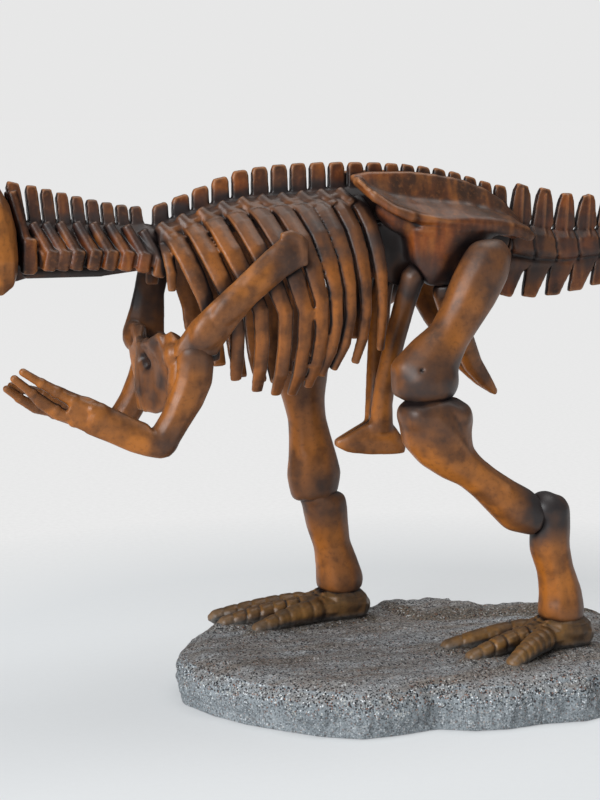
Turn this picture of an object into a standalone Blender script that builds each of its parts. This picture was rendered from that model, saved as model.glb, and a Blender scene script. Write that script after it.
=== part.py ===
"""Resin figurine of a mounted theropod skeleton, cast in pieces and set on a slab of rock.

The animal faces -X with its left side towards -Y, and +Z is up. The origin is the middle of
the slab's flat underside. Sizes are millimetres here, and each mesh is scaled to metres when
it is made an object.
"""

import math

import bmesh
import bpy
from mathutils import Matrix, Vector

MM = 0.001
HALF_GAP = 0.15
SHARP_ANGLE = math.radians(50)

# Slab of rock.
SLAB_TOP = 25.0
SLAB_SIDES = 32
# Lower step at the back right corner: middle, height, width, depth of cut and turn.
TERRACE_MIDDLE = (104.0, 92.0)
TERRACE_HEIGHT = 12.5
TERRACE_WIDTH = 100.0
TERRACE_CUT = 40.0
TERRACE_TURN = -0.2
# Distance of its edge from the middle, by the angle in degrees from the tail's direction.
SLAB_OUTLINE = (
    (-180, 125.0),
    (-160, 114.0),
    (-141, 105.0),
    (-127, 103.0),
    (-100, 81.0),
    (-84, 93.0),
    (-72, 92.0),
    (-55, 110.0),
    (-40, 120.0),
    (-20, 131.0),
    (6, 131.0),
    (18, 125.0),
    (36, 134.0),
    (47, 106.0),
    (60, 83.0),
    (88, 75.0),
    (115, 90.0),
    (142, 113.0),
    (160, 120.5),
    (180, 125.0),
)
# Height of each level of the slab's side and its share of the outline.
SLAB_LEVELS = ((0.0, 0.975), (7.0, 1.0), (17.0, 0.99), (21.5, 0.955), (SLAB_TOP, 0.88))

# Backbone: X and Z along the middle of the vertebral bodies, from the skull to the tail's tip.
SPINE_LINE = (
    (-206.0, 230.0),
    (-168.0, 229.4),
    (-140.0, 230.5),
    (-116.0, 238.5),
    (-94.0, 244.5),
    (-63.0, 247.4),
    (-33.0, 249.2),
    (-5.0, 247.5),
    (50.0, 231.0),
    (82.0, 225.5),
    (150.0, 231.0),
    (240.0, 239.0),
    (342.0, 230.0),
)
# X and Z along the tops of the neural spines.
BACK_LINE = (
    (-201.0, 262.0),
    (-142.0, 249.3),
    (-120.0, 254.0),
    (-88.0, 266.3),
    (-30.0, 269.3),
    (14.0, 265.4),
    (46.0, 257.0),
    (60.0, 257.0),
    (82.0, 252.5),
    (102.0, 251.0),
    (200.0, 249.5),
    (250.0, 247.5),
    (300.0, 242.5),
    (340.0, 233.0),
)
# X and downward length of the chevrons.
CHEVRON_DEPTH = ((54.0, 20.0), (93.0, 16.0), (150.0, 9.0), (230.0, 4.0), (300.0, 0.0))
NECK_START = -202.8
TRUNK_START = -138.5
TRUNK_FIRST_JOINT = -134.6
SACRUM_START = -16.4
TAIL_START = 50.8
TAIL_END = 340.0
NECK_COUNT = 9
TRUNK_COUNT = 12
SACRUM_COUNT = 8
TAIL_COUNT = 28
TAIL_LENGTHS = 4
AXIS_LENGTH = 6.0
# Half widths and half heights of the vertebral bodies.
NECK_HALF_WIDTH = 7.6
NECK_HALF_HEIGHT = ((NECK_START, 15.0), (-196.0, 13.0), (-188.0, 12.3), (TRUNK_START, 11.0))
SPINE_HALF_WIDTH = 5.0
SPINE_HALF_HEIGHT = 8.0
TAIL_TIP_HALF = (1.5, 1.8)
TAIL_ROOT_EXTRA = (4.2, 7.2)
TAIL_TAPER = 1.1
TAIL_LAST_LENGTH = 0.6
# Neck ribs: back, out and down.
NECK_RIB = (4.2, 4.8, -6.0)

# Ribs: one value for the first rib, some in the middle and the last, smoothed between.
RIB_COUNT = 10
RIB_STEPS = 7
RIB_FIRST_X = -129.3
RIB_SPACING = 10.0
RIB_HALF_WIDTH = ((0, 26.8), (2, 33.7), (5, 37.2), (9, 26.8))
RIB_HALF_DROP = ((0, 41.5), (2, 48.2), (5, 51.0), (9, 53.7))
RIB_END_ANGLE = ((0, 121.5), (1, 134.8), (2, 141.8), (4, 149.0), (6, 130.7), (8, 123.0), (9, 115.4))
RIB_SWEEP = ((0, 16.5), (3, 20.7), (5, 18.7), (7, 14.5), (9, 13.0))
RIB_TIP_SWEEP = ((0, 18.9), (3, 20.5), (5, 15.5), (7, 7.3), (9, 13.0))
# Share of the sweep that follows the drop of the rib and not its way out, so that it slants.
RIB_SLANT = ((0, 0.9), (2, 1.05), (4, 0.72), (6, 0.27), (9, 0.0))
RIB_BREADTH = ((0, 10.4), (3, 10.2), (6, 9.2), (9, 8.0))
# Share of that breadth along a rib, from its head to its tip.
RIB_FLARE = ((0.0, 1.12), (0.4, 1.08), (0.7, 0.94), (0.88, 0.9), (1.0, 0.7))
RIB_THICKNESS = 4.6
# The right ribs stand back by half a space.
RIGHT_RIBS_BACK = 4.2
# Short first rib: X, distance out, Z, and its half widths.
SHORT_RIB = (
    (-131.5, 7.5, 234.0, 3.2, 1.8),
    (-131.0, 15.0, 227.0, 3.4, 1.8),
    (-130.3, 19.0, 218.5, 3.2, 1.6),
    (-130.5, 20.0, 210.0, 2.8, 1.4),
)
LEDGE_REACH = 12.0

# Skull sections: X, top, bottom, and the half width above and below.
SKULL_STATIONS = (
    (-203.1, 243.0, 219.5, 13.0, 17.0),
    (-205.5, 251.5, 214.0, 17.0, 20.5),
    (-211.0, 261.0, 210.0, 20.0, 22.5),
    (-220.0, 263.0, 210.5, 21.0, 23.0),
    (-233.0, 262.0, 213.0, 18.5, 20.0),
    (-247.0, 259.0, 214.0, 15.0, 16.5),
    (-263.0, 254.5, 212.5, 11.0, 13.5),
    (-280.0, 249.0, 212.5, 9.0, 11.5),
    (-294.0, 241.0, 214.5, 7.5, 9.5),
    (-303.0, 232.0, 217.0, 5.0, 7.0),
)
# Openings through the cheeks: X, Z, half length, half height and tilt.
SKULL_OPENINGS = (
    (-221.0, 238.0, 5.0, 11.0, -0.15),
    (-240.0, 242.0, 4.6, 9.5, 0.2),
    (-261.0, 234.0, 9.0, 8.0, 0.25),
    (-294.0, 232.0, 3.6, 2.6, 0.5),
)
UPPER_TEETH = 10
UPPER_TOOTH_ROW = (-247.0, -300.0)
# Lower jaw from hinge to chin: X, distance out, Z, half height and half thickness.
JAW_STATIONS = (
    (-214.0, 19.0, 203.0, 3.2, 2.4),
    (-218.0, 20.0, 202.0, 7.0, 3.0),
    (-231.0, 19.5, 197.5, 10.0, 3.2),
    (-248.0, 15.5, 190.5, 8.4, 3.2),
    (-267.0, 10.5, 182.5, 6.6, 3.2),
    (-282.0, 6.5, 176.8, 6.4, 3.2),
    (-290.5, 0.0, 173.8, 6.4, 3.4),
)
JAW_JOINT_HEIGHT = 209.7
LOWER_TEETH = 8
LOWER_TOOTH_ROW = (-246.0, -286.0)

# Hip bones: X, top, flared rim, how far the rim reaches out and the lowest inner edge.
HIP_BONE_INNER = 11.0
SACRAL_RIB_MIDDLE = 6.0
SACRAL_RIB_SPAN = 26.0
ILIUM_STATIONS = (
    (-38.0, 263.5, 262.0, 22.0, 260.0),
    (-30.0, 265.0, 253.5, 27.0, 255.5),
    (-20.0, 265.0, 246.5, 30.0, 247.0),
    (-8.0, 265.0, 242.5, 32.0, 237.0),
    (6.0, 263.5, 241.0, 32.5, 234.5),
    (20.0, 261.0, 241.0, 32.5, 234.5),
    (32.0, 256.5, 240.0, 32.0, 234.0),
    (42.0, 250.5, 238.5, 31.0, 232.0),
    (51.5, 241.0, 235.5, 29.0, 229.0),
)
# Boss below the hip bone: Z, front, back, and its inner and outer distance out.
HIP_FACE = 27.0
HIP_BOSS_STATIONS = (
    (238.0, -11.5, 27.0, 13.0, 26.85),
    (224.0, -9.5, 28.0, 14.0, 26.85),
    (209.15, -5.5, 25.0, 16.0, 26.0),
)
# Thin inner wall in front of the boss: Z, front, back and outer distance out.
HIP_WALL_STATIONS = (
    (240.0, -33.0, 2.0, 13.6),
    (228.0, -31.0, 0.0, 13.2),
    (218.0, -27.0, -2.0, 12.8),
    (210.0, -19.0, -5.0, 12.3),
    (207.5, -14.0, -7.0, 12.2),
)
PUBIS_JOINT = Vector((-5.5, 0.0, 216.0))
PUBIS_FACING = Vector((-0.83, 0.0, -0.56)).normalized()
PUBIS_STATIONS = (
    (1.0, 20.0, 221.0, 5.8, 6.0),
    (-8.0, 19.6, 213.0, 5.8, 6.2),
    (-11.0, 17.0, 200.0, 5.0, 5.6),
    (-14.0, 12.0, 182.0, 4.8, 5.4),
    (-17.0, 7.0, 162.0, 4.8, 5.2),
    (-18.0, 4.6, 148.0, 4.6, 5.6),
    (-18.0, 3.8, 134.0, 4.0, 6.5),
)
# Half of the boot: X, low edge, high edge and thickness.
BOOT_STATIONS = (
    (-41.5, 127.0, 130.5, 2.5),
    (-35.0, 124.0, 133.5, 5.0),
    (-23.0, 122.5, 139.5, 6.5),
    (-11.0, 122.0, 137.0, 6.0),
    (-4.0, 121.5, 128.0, 3.0),
)
ISCHIUM_JOINT_HEIGHT = 209.0
ISCHIUM_STATIONS = (
    (12.0, 19.5, 216.0, 6.2, 8.0),
    (11.0, 18.5, 205.0, 6.0, 7.6),
    (17.0, 13.5, 191.0, 5.5, 6.6),
    (24.5, 9.0, 178.0, 5.0, 6.0),
    (31.0, 5.5, 166.5, 4.2, 5.2),
    (38.5, 3.0, 158.0, 3.0, 4.0),
    (46.0, 1.2, 150.5, 1.2, 1.6),
)

# Shoulder blade, chest plate, arm and hand bones: X, distance out, Z, and two half widths.
SHOULDER_HEIGHT = 180.0
SCAPULA_LEFT = (
    (-68.8, 38.0, 228.4, 1.8, 5.6),
    (-70.6, 38.0, 228.8, 2.3, 7.6),
    (-76.0, 38.2, 229.0, 2.5, 9.4),
    (-85.0, 38.6, 222.8, 2.5, 8.5),
    (-99.0, 38.6, 210.9, 2.8, 7.8),
    (-109.0, 37.2, 200.8, 3.2, 8.7),
    (-117.0, 34.0, 191.0, 4.2, 10.0),
    (-122.5, 31.0, 182.0, 6.0, 10.5),
    (-123.0, 31.0, 172.0, 6.0, 10.5),
)
SCAPULA_RIGHT = (
    (-100.5, 36.0, 241.0, 1.8, 5.0),
    (-104.5, 36.5, 238.0, 2.5, 8.0),
    (-110.0, 36.8, 233.0, 2.6, 8.0),
    (-118.0, 36.0, 225.5, 2.6, 8.2),
    (-126.2, 34.5, 215.0, 2.8, 8.8),
    (-128.5, 33.8, 205.0, 3.2, 8.2),
    (-130.0, 33.0, 195.0, 4.2, 9.4),
    (-132.3, 31.5, 185.0, 6.0, 11.0),
    (-132.5, 31.0, 172.0, 6.0, 11.0),
)
CORACOID_LEFT = (
    (-141.0, -1.0, 165.5, 17.0, 2.6),
    (-138.8, 8.0, 167.5, 19.5, 2.6),
    (-136.0, 15.0, 170.5, 21.0, 2.6),
    (-134.5, 20.5, 176.0, 13.5, 2.8),
    (-129.0, 27.0, 188.0, 6.0, 3.0),
)
CORACOID_RIGHT = (
    (-141.0, -1.0, 165.5, 17.0, 2.6),
    (-139.4, 8.0, 167.0, 19.0, 2.6),
    (-137.4, 15.0, 170.5, 20.0, 2.8),
    (-138.4, 21.5, 178.5, 12.5, 3.6),
    (-136.5, 28.0, 187.0, 7.0, 5.0),
)
# Room cut out of the chest plate for the arm: where it starts, and its length and width.
PLATE_REACH = 24.3
ARM_ROOM_X = -130.0
ARM_ROOM_LENGTH = 80.0
ARM_ROOM_WIDTH = 30.0
HUMERUS_STATIONS = (
    (-122.5, 31.5, 186.0, 6.8, 9.5),
    (-122.5, 31.5, 178.0, 6.8, 9.6),
    (-123.5, 31.5, 169.0, 7.0, 9.8),
    (-127.0, 31.5, 160.0, 7.0, 9.0),
    (-132.5, 32.0, 150.0, 6.5, 7.6),
    (-137.0, 32.0, 143.0, 6.5, 7.6),
    (-142.0, 32.0, 136.5, 6.5, 7.8),
)
ELBOW = Vector((-140.0, 32.0, 139.0))
ELBOW_FACING = Vector((-0.86, 0.0, -0.5)).normalized()
RIGHT_ARM_AHEAD = 5.5
RIGHT_FOREARM_TURN = math.radians(-2.0)
RIGHT_FOREARM_YAW = math.radians(13.0)
FOREARM_STATIONS = (
    (-132.0, 32.0, 138.5, 6.5, 5.0),
    (-139.0, 32.0, 138.7, 6.6, 7.4),
    (-145.0, 32.0, 140.5, 6.5, 8.0),
    (-152.0, 31.5, 143.0, 5.6, 8.2),
    (-162.0, 31.0, 148.0, 5.0, 8.3),
    (-176.0, 30.0, 154.5, 4.5, 8.4),
)
WRIST = Vector((-172.0, 30.0, 153.0))
WRIST_FACING = Vector((-0.9, 0.0, 0.43)).normalized()
PALM_STATIONS = (
    (-168.0, 30.0, 151.0, 4.5, 8.3),
    (-177.0, 29.8, 155.5, 4.0, 8.2),
    (-183.0, 29.5, 158.5, 3.2, 6.5),
)
FINGERS_LEFT = (
    (
        (-178.0, 29.5, 159.0, 2.8, 3.4),
        (-187.0, 29.5, 164.5, 2.4, 2.8),
        (-195.0, 29.7, 169.5, 2.0, 2.3),
        (-203.5, 30.0, 175.0, 0.8, 0.9),
    ),
    (
        (-178.0, 29.5, 152.5, 2.6, 3.2),
        (-188.0, 29.0, 154.5, 2.3, 2.6),
        (-196.0, 28.5, 160.0, 2.0, 2.2),
        (-204.0, 28.0, 167.5, 0.8, 0.9),
    ),
)
FINGERS_RIGHT = (
    (
        (-176.0, 29.5, 157.0, 2.8, 3.4),
        (-184.0, 29.5, 160.0, 2.4, 2.8),
        (-191.0, 29.7, 162.5, 2.0, 2.3),
        (-198.5, 30.0, 165.0, 0.8, 0.9),
    ),
    (
        (-176.0, 29.5, 150.0, 2.6, 3.2),
        (-186.0, 29.0, 152.5, 2.3, 2.6),
        (-194.0, 28.5, 158.0, 2.0, 2.2),
        (-202.0, 28.0, 164.5, 0.8, 0.9),
    ),
)

# Legs: the left one is drawn back and the right one forward. X, distance out, Z, half widths.
LEFT_LEG = {
    "femur": (
        (26.5, 37.0, 232.0, 5.0, 6.0),
        (26.5, 37.5, 228.0, 9.0, 11.0),
        (23.0, 38.0, 219.0, 10.5, 13.0),
        (16.0, 39.0, 207.0, 10.5, 13.0),
        (9.0, 40.0, 195.0, 9.5, 11.3),
        (3.0, 41.0, 186.0, 9.5, 10.6),
        (-4.5, 42.0, 177.0, 11.0, 13.8),
        (-10.0, 42.0, 168.5, 13.0, 18.2),
        (-9.5, 42.0, 160.0, 13.0, 17.2),
        (-8.0, 42.0, 153.0, 11.0, 13.0),
    ),
    "knee_height": 155.5,
    "tibia": (
        (-5.5, 42.0, 158.0, 12.0, 13.0),
        (-5.0, 42.0, 149.5, 14.0, 18.0),
        (-3.0, 42.5, 140.0, 13.5, 19.5),
        (1.0, 43.0, 131.5, 12.0, 15.5),
        (7.0, 43.0, 124.0, 10.5, 11.0),
        (14.0, 43.0, 119.0, 9.5, 8.8),
        (22.0, 43.5, 112.5, 9.5, 8.8),
        (31.0, 44.0, 105.0, 10.5, 10.2),
        (40.0, 44.0, 98.0, 11.0, 12.0),
        (53.0, 44.0, 91.0, 9.0, 8.0),
    ),
    "ankle": (52.0, 0.0, 96.0),
    "ankle_facing": (0.95, 0.0, -0.316),
    "metatarsus": (
        (59.0, 44.0, 104.0, 5.0, 5.5),
        (58.5, 44.0, 99.5, 9.0, 9.0),
        (57.5, 44.0, 88.0, 10.0, 10.5),
        (57.5, 44.0, 78.0, 9.5, 10.3),
        (61.0, 44.0, 66.0, 9.0, 9.3),
        (64.0, 44.0, 54.0, 10.0, 11.0),
        (64.5, 44.0, 46.0, 11.5, 12.0),
        (64.5, 44.0, 38.0, 10.5, 11.5),
    ),
    "foot_height": 41.0,
    "sole_x": 65.0,
    "sole_out": 44.0,
    "toe_tips": ((5.0, 30.0), (9.0, 54.0), (25.0, 71.0)),
}
RIGHT_LEG = {
    "femur": (
        (28.5, 37.0, 229.0, 5.0, 6.0),
        (25.0, 37.5, 226.0, 9.0, 11.0),
        (17.0, 38.0, 219.0, 10.5, 12.5),
        (6.0, 39.0, 210.5, 10.5, 12.5),
        (-8.0, 40.0, 200.0, 9.5, 11.0),
        (-20.0, 44.0, 191.0, 9.0, 10.8),
        (-31.5, 46.5, 183.0, 10.0, 13.0),
        (-41.5, 47.5, 177.0, 11.0, 15.0),
        (-44.0, 47.5, 168.0, 11.0, 15.0),
    ),
    "knee_height": 171.0,
    "tibia": (
        (-44.0, 47.5, 174.0, 10.5, 13.0),
        (-44.2, 47.5, 163.0, 11.2, 15.5),
        (-43.5, 47.0, 154.0, 11.0, 13.5),
        (-42.8, 46.5, 145.0, 10.0, 11.3),
        (-41.5, 45.5, 135.0, 9.5, 10.0),
        (-40.2, 44.5, 125.0, 9.5, 11.3),
        (-39.0, 43.5, 114.0, 10.0, 13.3),
        (-38.0, 44.0, 105.0, 11.0, 15.0),
        (-38.0, 44.0, 96.0, 11.0, 13.0),
        (-38.0, 44.0, 88.0, 10.0, 11.0),
    ),
    "ankle": (-36.0, 0.0, 93.0),
    "ankle_facing": (0.12, 0.0, -0.99),
    "metatarsus": (
        (-34.0, 44.0, 97.0, 9.0, 11.0),
        (-32.0, 44.0, 88.0, 10.5, 12.2),
        (-30.5, 44.0, 78.0, 9.8, 11.5),
        (-28.0, 44.0, 67.0, 9.0, 10.0),
        (-25.5, 44.0, 57.0, 9.5, 11.5),
        (-23.5, 44.0, 48.0, 11.0, 13.0),
        (-23.5, 44.0, 38.0, 11.0, 12.5),
    ),
    "foot_height": 42.5,
    "sole_x": -24.0,
    "sole_out": 44.0,
    "toe_tips": ((-76.0, 30.0), (-90.0, 49.0), (-91.0, 64.0)),
}
# Sole: X from its middle, Z above the slab and half widths. Toes: share of the length from
# the root to the tip, half width, half height and arch.
SOLE_STATIONS = (
    (16.0, 5.5, 4.5, 4.5),
    (12.0, 7.0, 10.0, 8.5),
    (2.0, 8.0, 12.5, 10.5),
    (-10.0, 7.5, 13.0, 9.5),
    (-20.0, 6.0, 11.5, 6.5),
)
TOE_ROOT_AHEAD = 10.0
TOE_ROOT_SPREAD = 7.0
TOE_STATIONS = (
    (0.0, 5.5, 6.0, 0.0),
    (0.3, 4.8, 5.2, 1.8),
    (0.6, 4.0, 4.4, 2.0),
    (0.88, 3.2, 3.2, 0.8),
    (1.0, 1.2, 1.2, 0.0),
)
OPENING_SIDES = 8


def clear_scene():
    for old in list(bpy.data.objects):
        bpy.data.objects.remove(old, do_unlink=True)


def new_collection(name):
    collection = bpy.data.collections.new(name)
    bpy.context.scene.collection.children.link(collection)
    return collection


def new_paint(name, colour, roughness, metallic):
    paint = bpy.data.materials.new(name)
    paint.use_nodes = True
    shader = paint.node_tree.nodes["Principled BSDF"]
    shader.inputs["Base Color"].default_value = (*colour, 1.0)
    shader.inputs["Roughness"].default_value = roughness
    shader.inputs["Metallic"].default_value = metallic
    return paint


def add_object(name, builder, collection, side=1):
    """Turn a finished bmesh, in millimetres, into an object in metres; side -1 reflects it in Y."""
    bmesh.ops.scale(builder, vec=(MM, MM * side, MM), verts=builder.verts)
    bmesh.ops.recalc_face_normals(builder, faces=builder.faces)
    mesh = bpy.data.meshes.new(name)
    builder.to_mesh(mesh)
    builder.free()
    obj = bpy.data.objects.new(name, mesh)
    collection.objects.link(obj)
    return obj


def add_part(name, builder, paint, parts, side=1):
    """Make a piece of the figurine, smooth over its round faces, in its own coat of paint."""
    obj = add_object(name, builder, parts, side)
    coat = paint.copy()
    coat.name = f"{name}_{paint.name}"
    obj.data.materials.append(coat)
    obj.data.shade_smooth()
    obj.data.set_sharp_from_angle(angle=SHARP_ANGLE)
    return obj


def smooth(points, position):
    """Read a smooth curve through (position, value) points, with level slopes past its ends."""
    if position <= points[0][0]:
        return points[0][1]
    if position >= points[-1][0]:
        return points[-1][1]
    after = next(i for i, point in enumerate(points) if point[0] > position)
    before = after - 1
    slopes = []
    for i in (before, after):
        low = points[max(i - 1, 0)]
        high = points[min(i + 1, len(points) - 1)]
        slopes.append((high[1] - low[1]) / (high[0] - low[0]))
    span = points[after][0] - points[before][0]
    t = (position - points[before][0]) / span
    return (
        points[before][1] * (2 * t**3 - 3 * t**2 + 1)
        + slopes[0] * span * (t**3 - 2 * t**2 + t)
        + points[after][1] * (3 * t**2 - 2 * t**3)
        + slopes[1] * span * (t**3 - t**2)
    )


def loft(builder, rings):
    """Skin equal rings of points into one closed tube, and return its bands of side faces."""
    loops = [[builder.verts.new(point) for point in ring] for ring in rings]
    bands = []
    for near, far in zip(loops, loops[1:]):
        band = []
        for i in range(len(near)):
            j = (i + 1) % len(near)
            band.append(builder.faces.new((near[i], near[j], far[j], far[i])))
        bands.append(band)
    builder.faces.new(reversed(loops[0]))
    builder.faces.new(loops[-1])
    return bands


def oval_ring(centre, along, reference, across, deep, sides):
    """Points of an oval square to `along`, with `across` measured towards `reference`."""
    right = reference - along * reference.dot(along)
    right.normalize()
    front = along.cross(right)
    ring = []
    for i in range(sides):
        angle = 2 * math.pi * (i + 0.5) / sides
        ring.append(centre + right * across * math.cos(angle) + front * deep * math.sin(angle))
    return ring


def shaft(builder, stations, reference=(0.0, 1.0, 0.0), sides=8):
    """Loft a bone with oval sections through stations of (x, y, z, across, deep)."""
    centres = [Vector(station[:3]) for station in stations]
    reference = Vector(reference)
    rings = []
    for i, station in enumerate(stations):
        along = centres[min(i + 1, len(centres) - 1)] - centres[max(i - 1, 0)]
        along.normalize()
        rings.append(oval_ring(centres[i], along, reference, station[3], station[4], sides))
    loft(builder, rings)


def trim(builder, point, facing):
    """Cut off whatever lies beyond a plane and close the cut with a flat face."""
    geometry = list(builder.verts) + list(builder.edges) + list(builder.faces)
    cut = bmesh.ops.bisect_plane(
        builder,
        geom=geometry,
        dist=1e-5,
        plane_co=Vector(point),
        plane_no=Vector(facing),
        clear_outer=True,
    )
    edges = [item for item in cut["geom_cut"] if isinstance(item, bmesh.types.BMEdge)]
    bmesh.ops.contextual_create(builder, geom=edges)


def draw_out(builder, face, offset, along, across):
    """Extrude one face by `offset`, its far end scaled along X and across it."""
    tip = bmesh.ops.extrude_discrete_faces(builder, faces=[face])["faces"][0]
    centre = tip.calc_center_median()
    for corner in tip.verts:
        away = corner.co - centre
        corner.co = centre + Vector((away.x * along, away.y * across, away.z * across)) + Vector(offset)
    return tip


def combine(obj, helper_builder, operation, cutters, side=1):
    """Join a helper shape to an object, or cut it away, with a Boolean modifier."""
    name = f"{obj.name}_{operation.lower()}_{len(obj.modifiers)}"
    helper = add_object(name, helper_builder, cutters, side)
    helper.hide_render = True
    helper.display_type = "WIRE"
    boolean = obj.modifiers.new(name, "BOOLEAN")
    boolean.operation = operation
    boolean.object = helper


def make_slab(paint, parts, cutters):
    """Ragged slab with a flat underside and top, and a lower step at its back right corner."""
    builder = bmesh.new()
    rings = []
    for height, spread in SLAB_LEVELS:
        ring = []
        for i in range(SLAB_SIDES):
            angle = 360 * i / SLAB_SIDES - 180
            reach = spread * smooth(SLAB_OUTLINE, angle)
            turn = math.radians(angle)
            ring.append((reach * math.cos(turn), reach * math.sin(turn), height))
        rings.append(ring)
    loft(builder, rings)
    slab = add_part("base", builder, paint, parts)
    step = bmesh.new()
    place = Matrix.Translation((*TERRACE_MIDDLE, TERRACE_HEIGHT + TERRACE_CUT / 2))
    place @= Matrix.Rotation(TERRACE_TURN, 4, "Z")
    place @= Matrix.Diagonal((TERRACE_WIDTH, TERRACE_WIDTH, TERRACE_CUT, 1.0))
    bmesh.ops.create_cube(step, size=1.0, matrix=place)
    combine(slab, step, "DIFFERENCE", cutters)


def spine_height(x):
    return smooth(SPINE_LINE, x)


def vertebra_ring(x, half_width, half_height):
    """Eight-sided section of a vertebral body, flat above, below and at both sides."""
    slope = (spine_height(x + 1) - spine_height(x - 1)) / 2
    up = Vector((-slope / 3, 0.0, 1.0)).normalized()
    centre = Vector((x, 0.0, spine_height(x)))
    half = ((0.4, 1), (1, 0.45), (1, -0.45), (0.4, -1))
    corners = half + tuple((-y, z) for y, z in reversed(half))
    return [centre + Vector((0.0, y * half_width, 0.0)) + up * z * half_height for y, z in corners]


RIGHT_FACE, BOTTOM_FACE, LEFT_FACE, TOP_FACE = 1, 3, 5, 7


def make_vertebrae(name, joints, sizes, grow, paint, parts, first_lead=0.1):
    """A run of vertebrae as one solid: sizes(x) gives each body, and grow(x) its processes."""
    stations = []
    for start, end in zip(joints, joints[1:]):
        length = end - start
        stations += [start + 0.1 * length, end - 0.1 * length]
    stations[0] = joints[0] + first_lead * (joints[1] - joints[0])
    rings = [vertebra_ring(x, *sizes(x)) for x in stations]
    rings.insert(0, vertebra_ring(joints[0] + HALF_GAP, *sizes(joints[0])))
    rings.append(vertebra_ring(joints[-1] - HALF_GAP, *sizes(joints[-1])))
    builder = bmesh.new()
    bands = loft(builder, rings)
    for number in range(len(joints) - 1):
        band = bands[2 * number + 1]
        x = (joints[number] + joints[number + 1]) / 2
        grow(builder, band, x)
    return add_part(name, builder, paint, parts)


def grow_blade(builder, band, x, lean=-0.02, breadth=0.98):
    """Neural spine: a flat upright blade, tapered and rounded at its top."""
    top = band[TOP_FACE]
    rise = smooth(BACK_LINE, x) - top.calc_center_median().z
    lower = draw_out(builder, top, (lean * rise, 0.0, rise * 0.8), breadth, 0.85)
    if rise > 7:
        draw_out(builder, lower, (0.0, 0.0, rise * 0.2), 0.74, 0.75)
    else:
        for corner in lower.verts:
            corner.co.z += rise * 0.2


def evenly(start, end, count, shrink=1.0):
    """Joints of `count` lengths from start to end, the last being `shrink` times the first."""
    lengths = [1 + (shrink - 1) * i / (count - 1) for i in range(count)]
    scale = (end - start) / sum(lengths)
    joints = [start]
    for length in lengths:
        joints.append(joints[-1] + length * scale)
    return joints


def neck_size(x):
    return NECK_HALF_WIDTH, smooth(NECK_HALF_HEIGHT, x)


def grow_neck(builder, band, x):
    """A blade above and a rib at each side; the first blade is broad and leans to the skull."""
    if x < NECK_START + AXIS_LENGTH:
        grow_blade(builder, band, x, lean=-0.16, breadth=1.15)
    else:
        grow_blade(builder, band, x, lean=-0.08)
    back, out, down = NECK_RIB
    for face, side in ((RIGHT_FACE, 1), (LEFT_FACE, -1)):
        draw_out(builder, band[face], (back, side * out, down), 0.75, 0.6)


def trunk_size(_x):
    return SPINE_HALF_WIDTH, SPINE_HALF_HEIGHT


def grow_sacrum(builder, band, x):
    """A blade above, and at each side a sacral rib that reaches the hip bone's inner face."""
    grow_blade(builder, band, x)
    reach = HIP_BONE_INNER - HALF_GAP - SPINE_HALF_WIDTH
    if abs(x - SACRAL_RIB_MIDDLE) < SACRAL_RIB_SPAN:
        for face, side in ((RIGHT_FACE, 1), (LEFT_FACE, -1)):
            draw_out(builder, band[face], (0.0, side * reach, 0.0), 0.8, 1.0)


def tail_size(x):
    left = max(0.0, (TAIL_END - x) / (TAIL_END - TAIL_START)) ** TAIL_TAPER
    return tuple(tip + extra * left for tip, extra in zip(TAIL_TIP_HALF, TAIL_ROOT_EXTRA))


def grow_tail(builder, band, x):
    grow_blade(builder, band, x)
    depth = smooth(CHEVRON_DEPTH, x)
    if depth > 0.8:
        draw_out(builder, band[BOTTOM_FACE], (-1.8, 0.0, -depth), 0.72, 0.8)


def make_backbone(paint, parts):
    neck = evenly(NECK_START, TRUNK_START, NECK_COUNT)
    make_vertebrae("neck", neck, neck_size, grow_neck, paint, parts)
    trunk = evenly(TRUNK_FIRST_JOINT, SACRUM_START, TRUNK_COUNT)
    trunk[0] = TRUNK_START
    make_vertebrae("trunk_spine", trunk, trunk_size, grow_blade, paint, parts, first_lead=0.35)
    sacrum = evenly(SACRUM_START, TAIL_START, SACRUM_COUNT)
    make_vertebrae("sacrum", sacrum, trunk_size, grow_sacrum, paint, parts)
    tail = evenly(TAIL_START, TAIL_END, TAIL_COUNT, TAIL_LAST_LENGTH)
    each = TAIL_COUNT // TAIL_LENGTHS
    for number in range(TAIL_LENGTHS):
        joints = tail[number * each : (number + 1) * each + 1]
        make_vertebrae(f"tail_{number + 1}", joints, tail_size, grow_tail, paint, parts)


def rib_stations(number, first_x):
    """A rib bows out and back along part of an ellipse, from the backbone down to its tip."""
    head_x = first_x + RIB_SPACING * number
    head_z = spine_height(head_x) + 6
    half_width = smooth(RIB_HALF_WIDTH, number)
    half_drop = smooth(RIB_HALF_DROP, number)
    end = smooth(RIB_END_ANGLE, number)
    sweep = smooth(RIB_SWEEP, number)
    slant = smooth(RIB_SLANT, number)
    tip_sweep = smooth(RIB_TIP_SWEEP, number)
    breadth = smooth(RIB_BREADTH, number) / 2
    start = math.degrees(math.asin((SPINE_HALF_WIDTH + 3.5) / half_width))
    stations = []
    for step in range(RIB_STEPS + 1):
        share = step / RIB_STEPS
        angle = math.radians(start + (end - start) * share)
        bend = min(angle, math.pi / 2)
        back = sweep * (slant * (1 - math.cos(bend)) + (1 - slant) * math.sin(bend))
        past = max(0.0, (angle - math.pi / 2) / (math.radians(end) - math.pi / 2))
        back += (tip_sweep - sweep) * past * past
        flare = smooth(RIB_FLARE, share)
        stations.append(
            (
                head_x + back,
                half_width * math.sin(angle),
                head_z - half_drop * (1 - math.cos(angle)),
                breadth * flare,
                RIB_THICKNESS / 2 * min(1.0, flare),
            )
        )
    return stations


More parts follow.
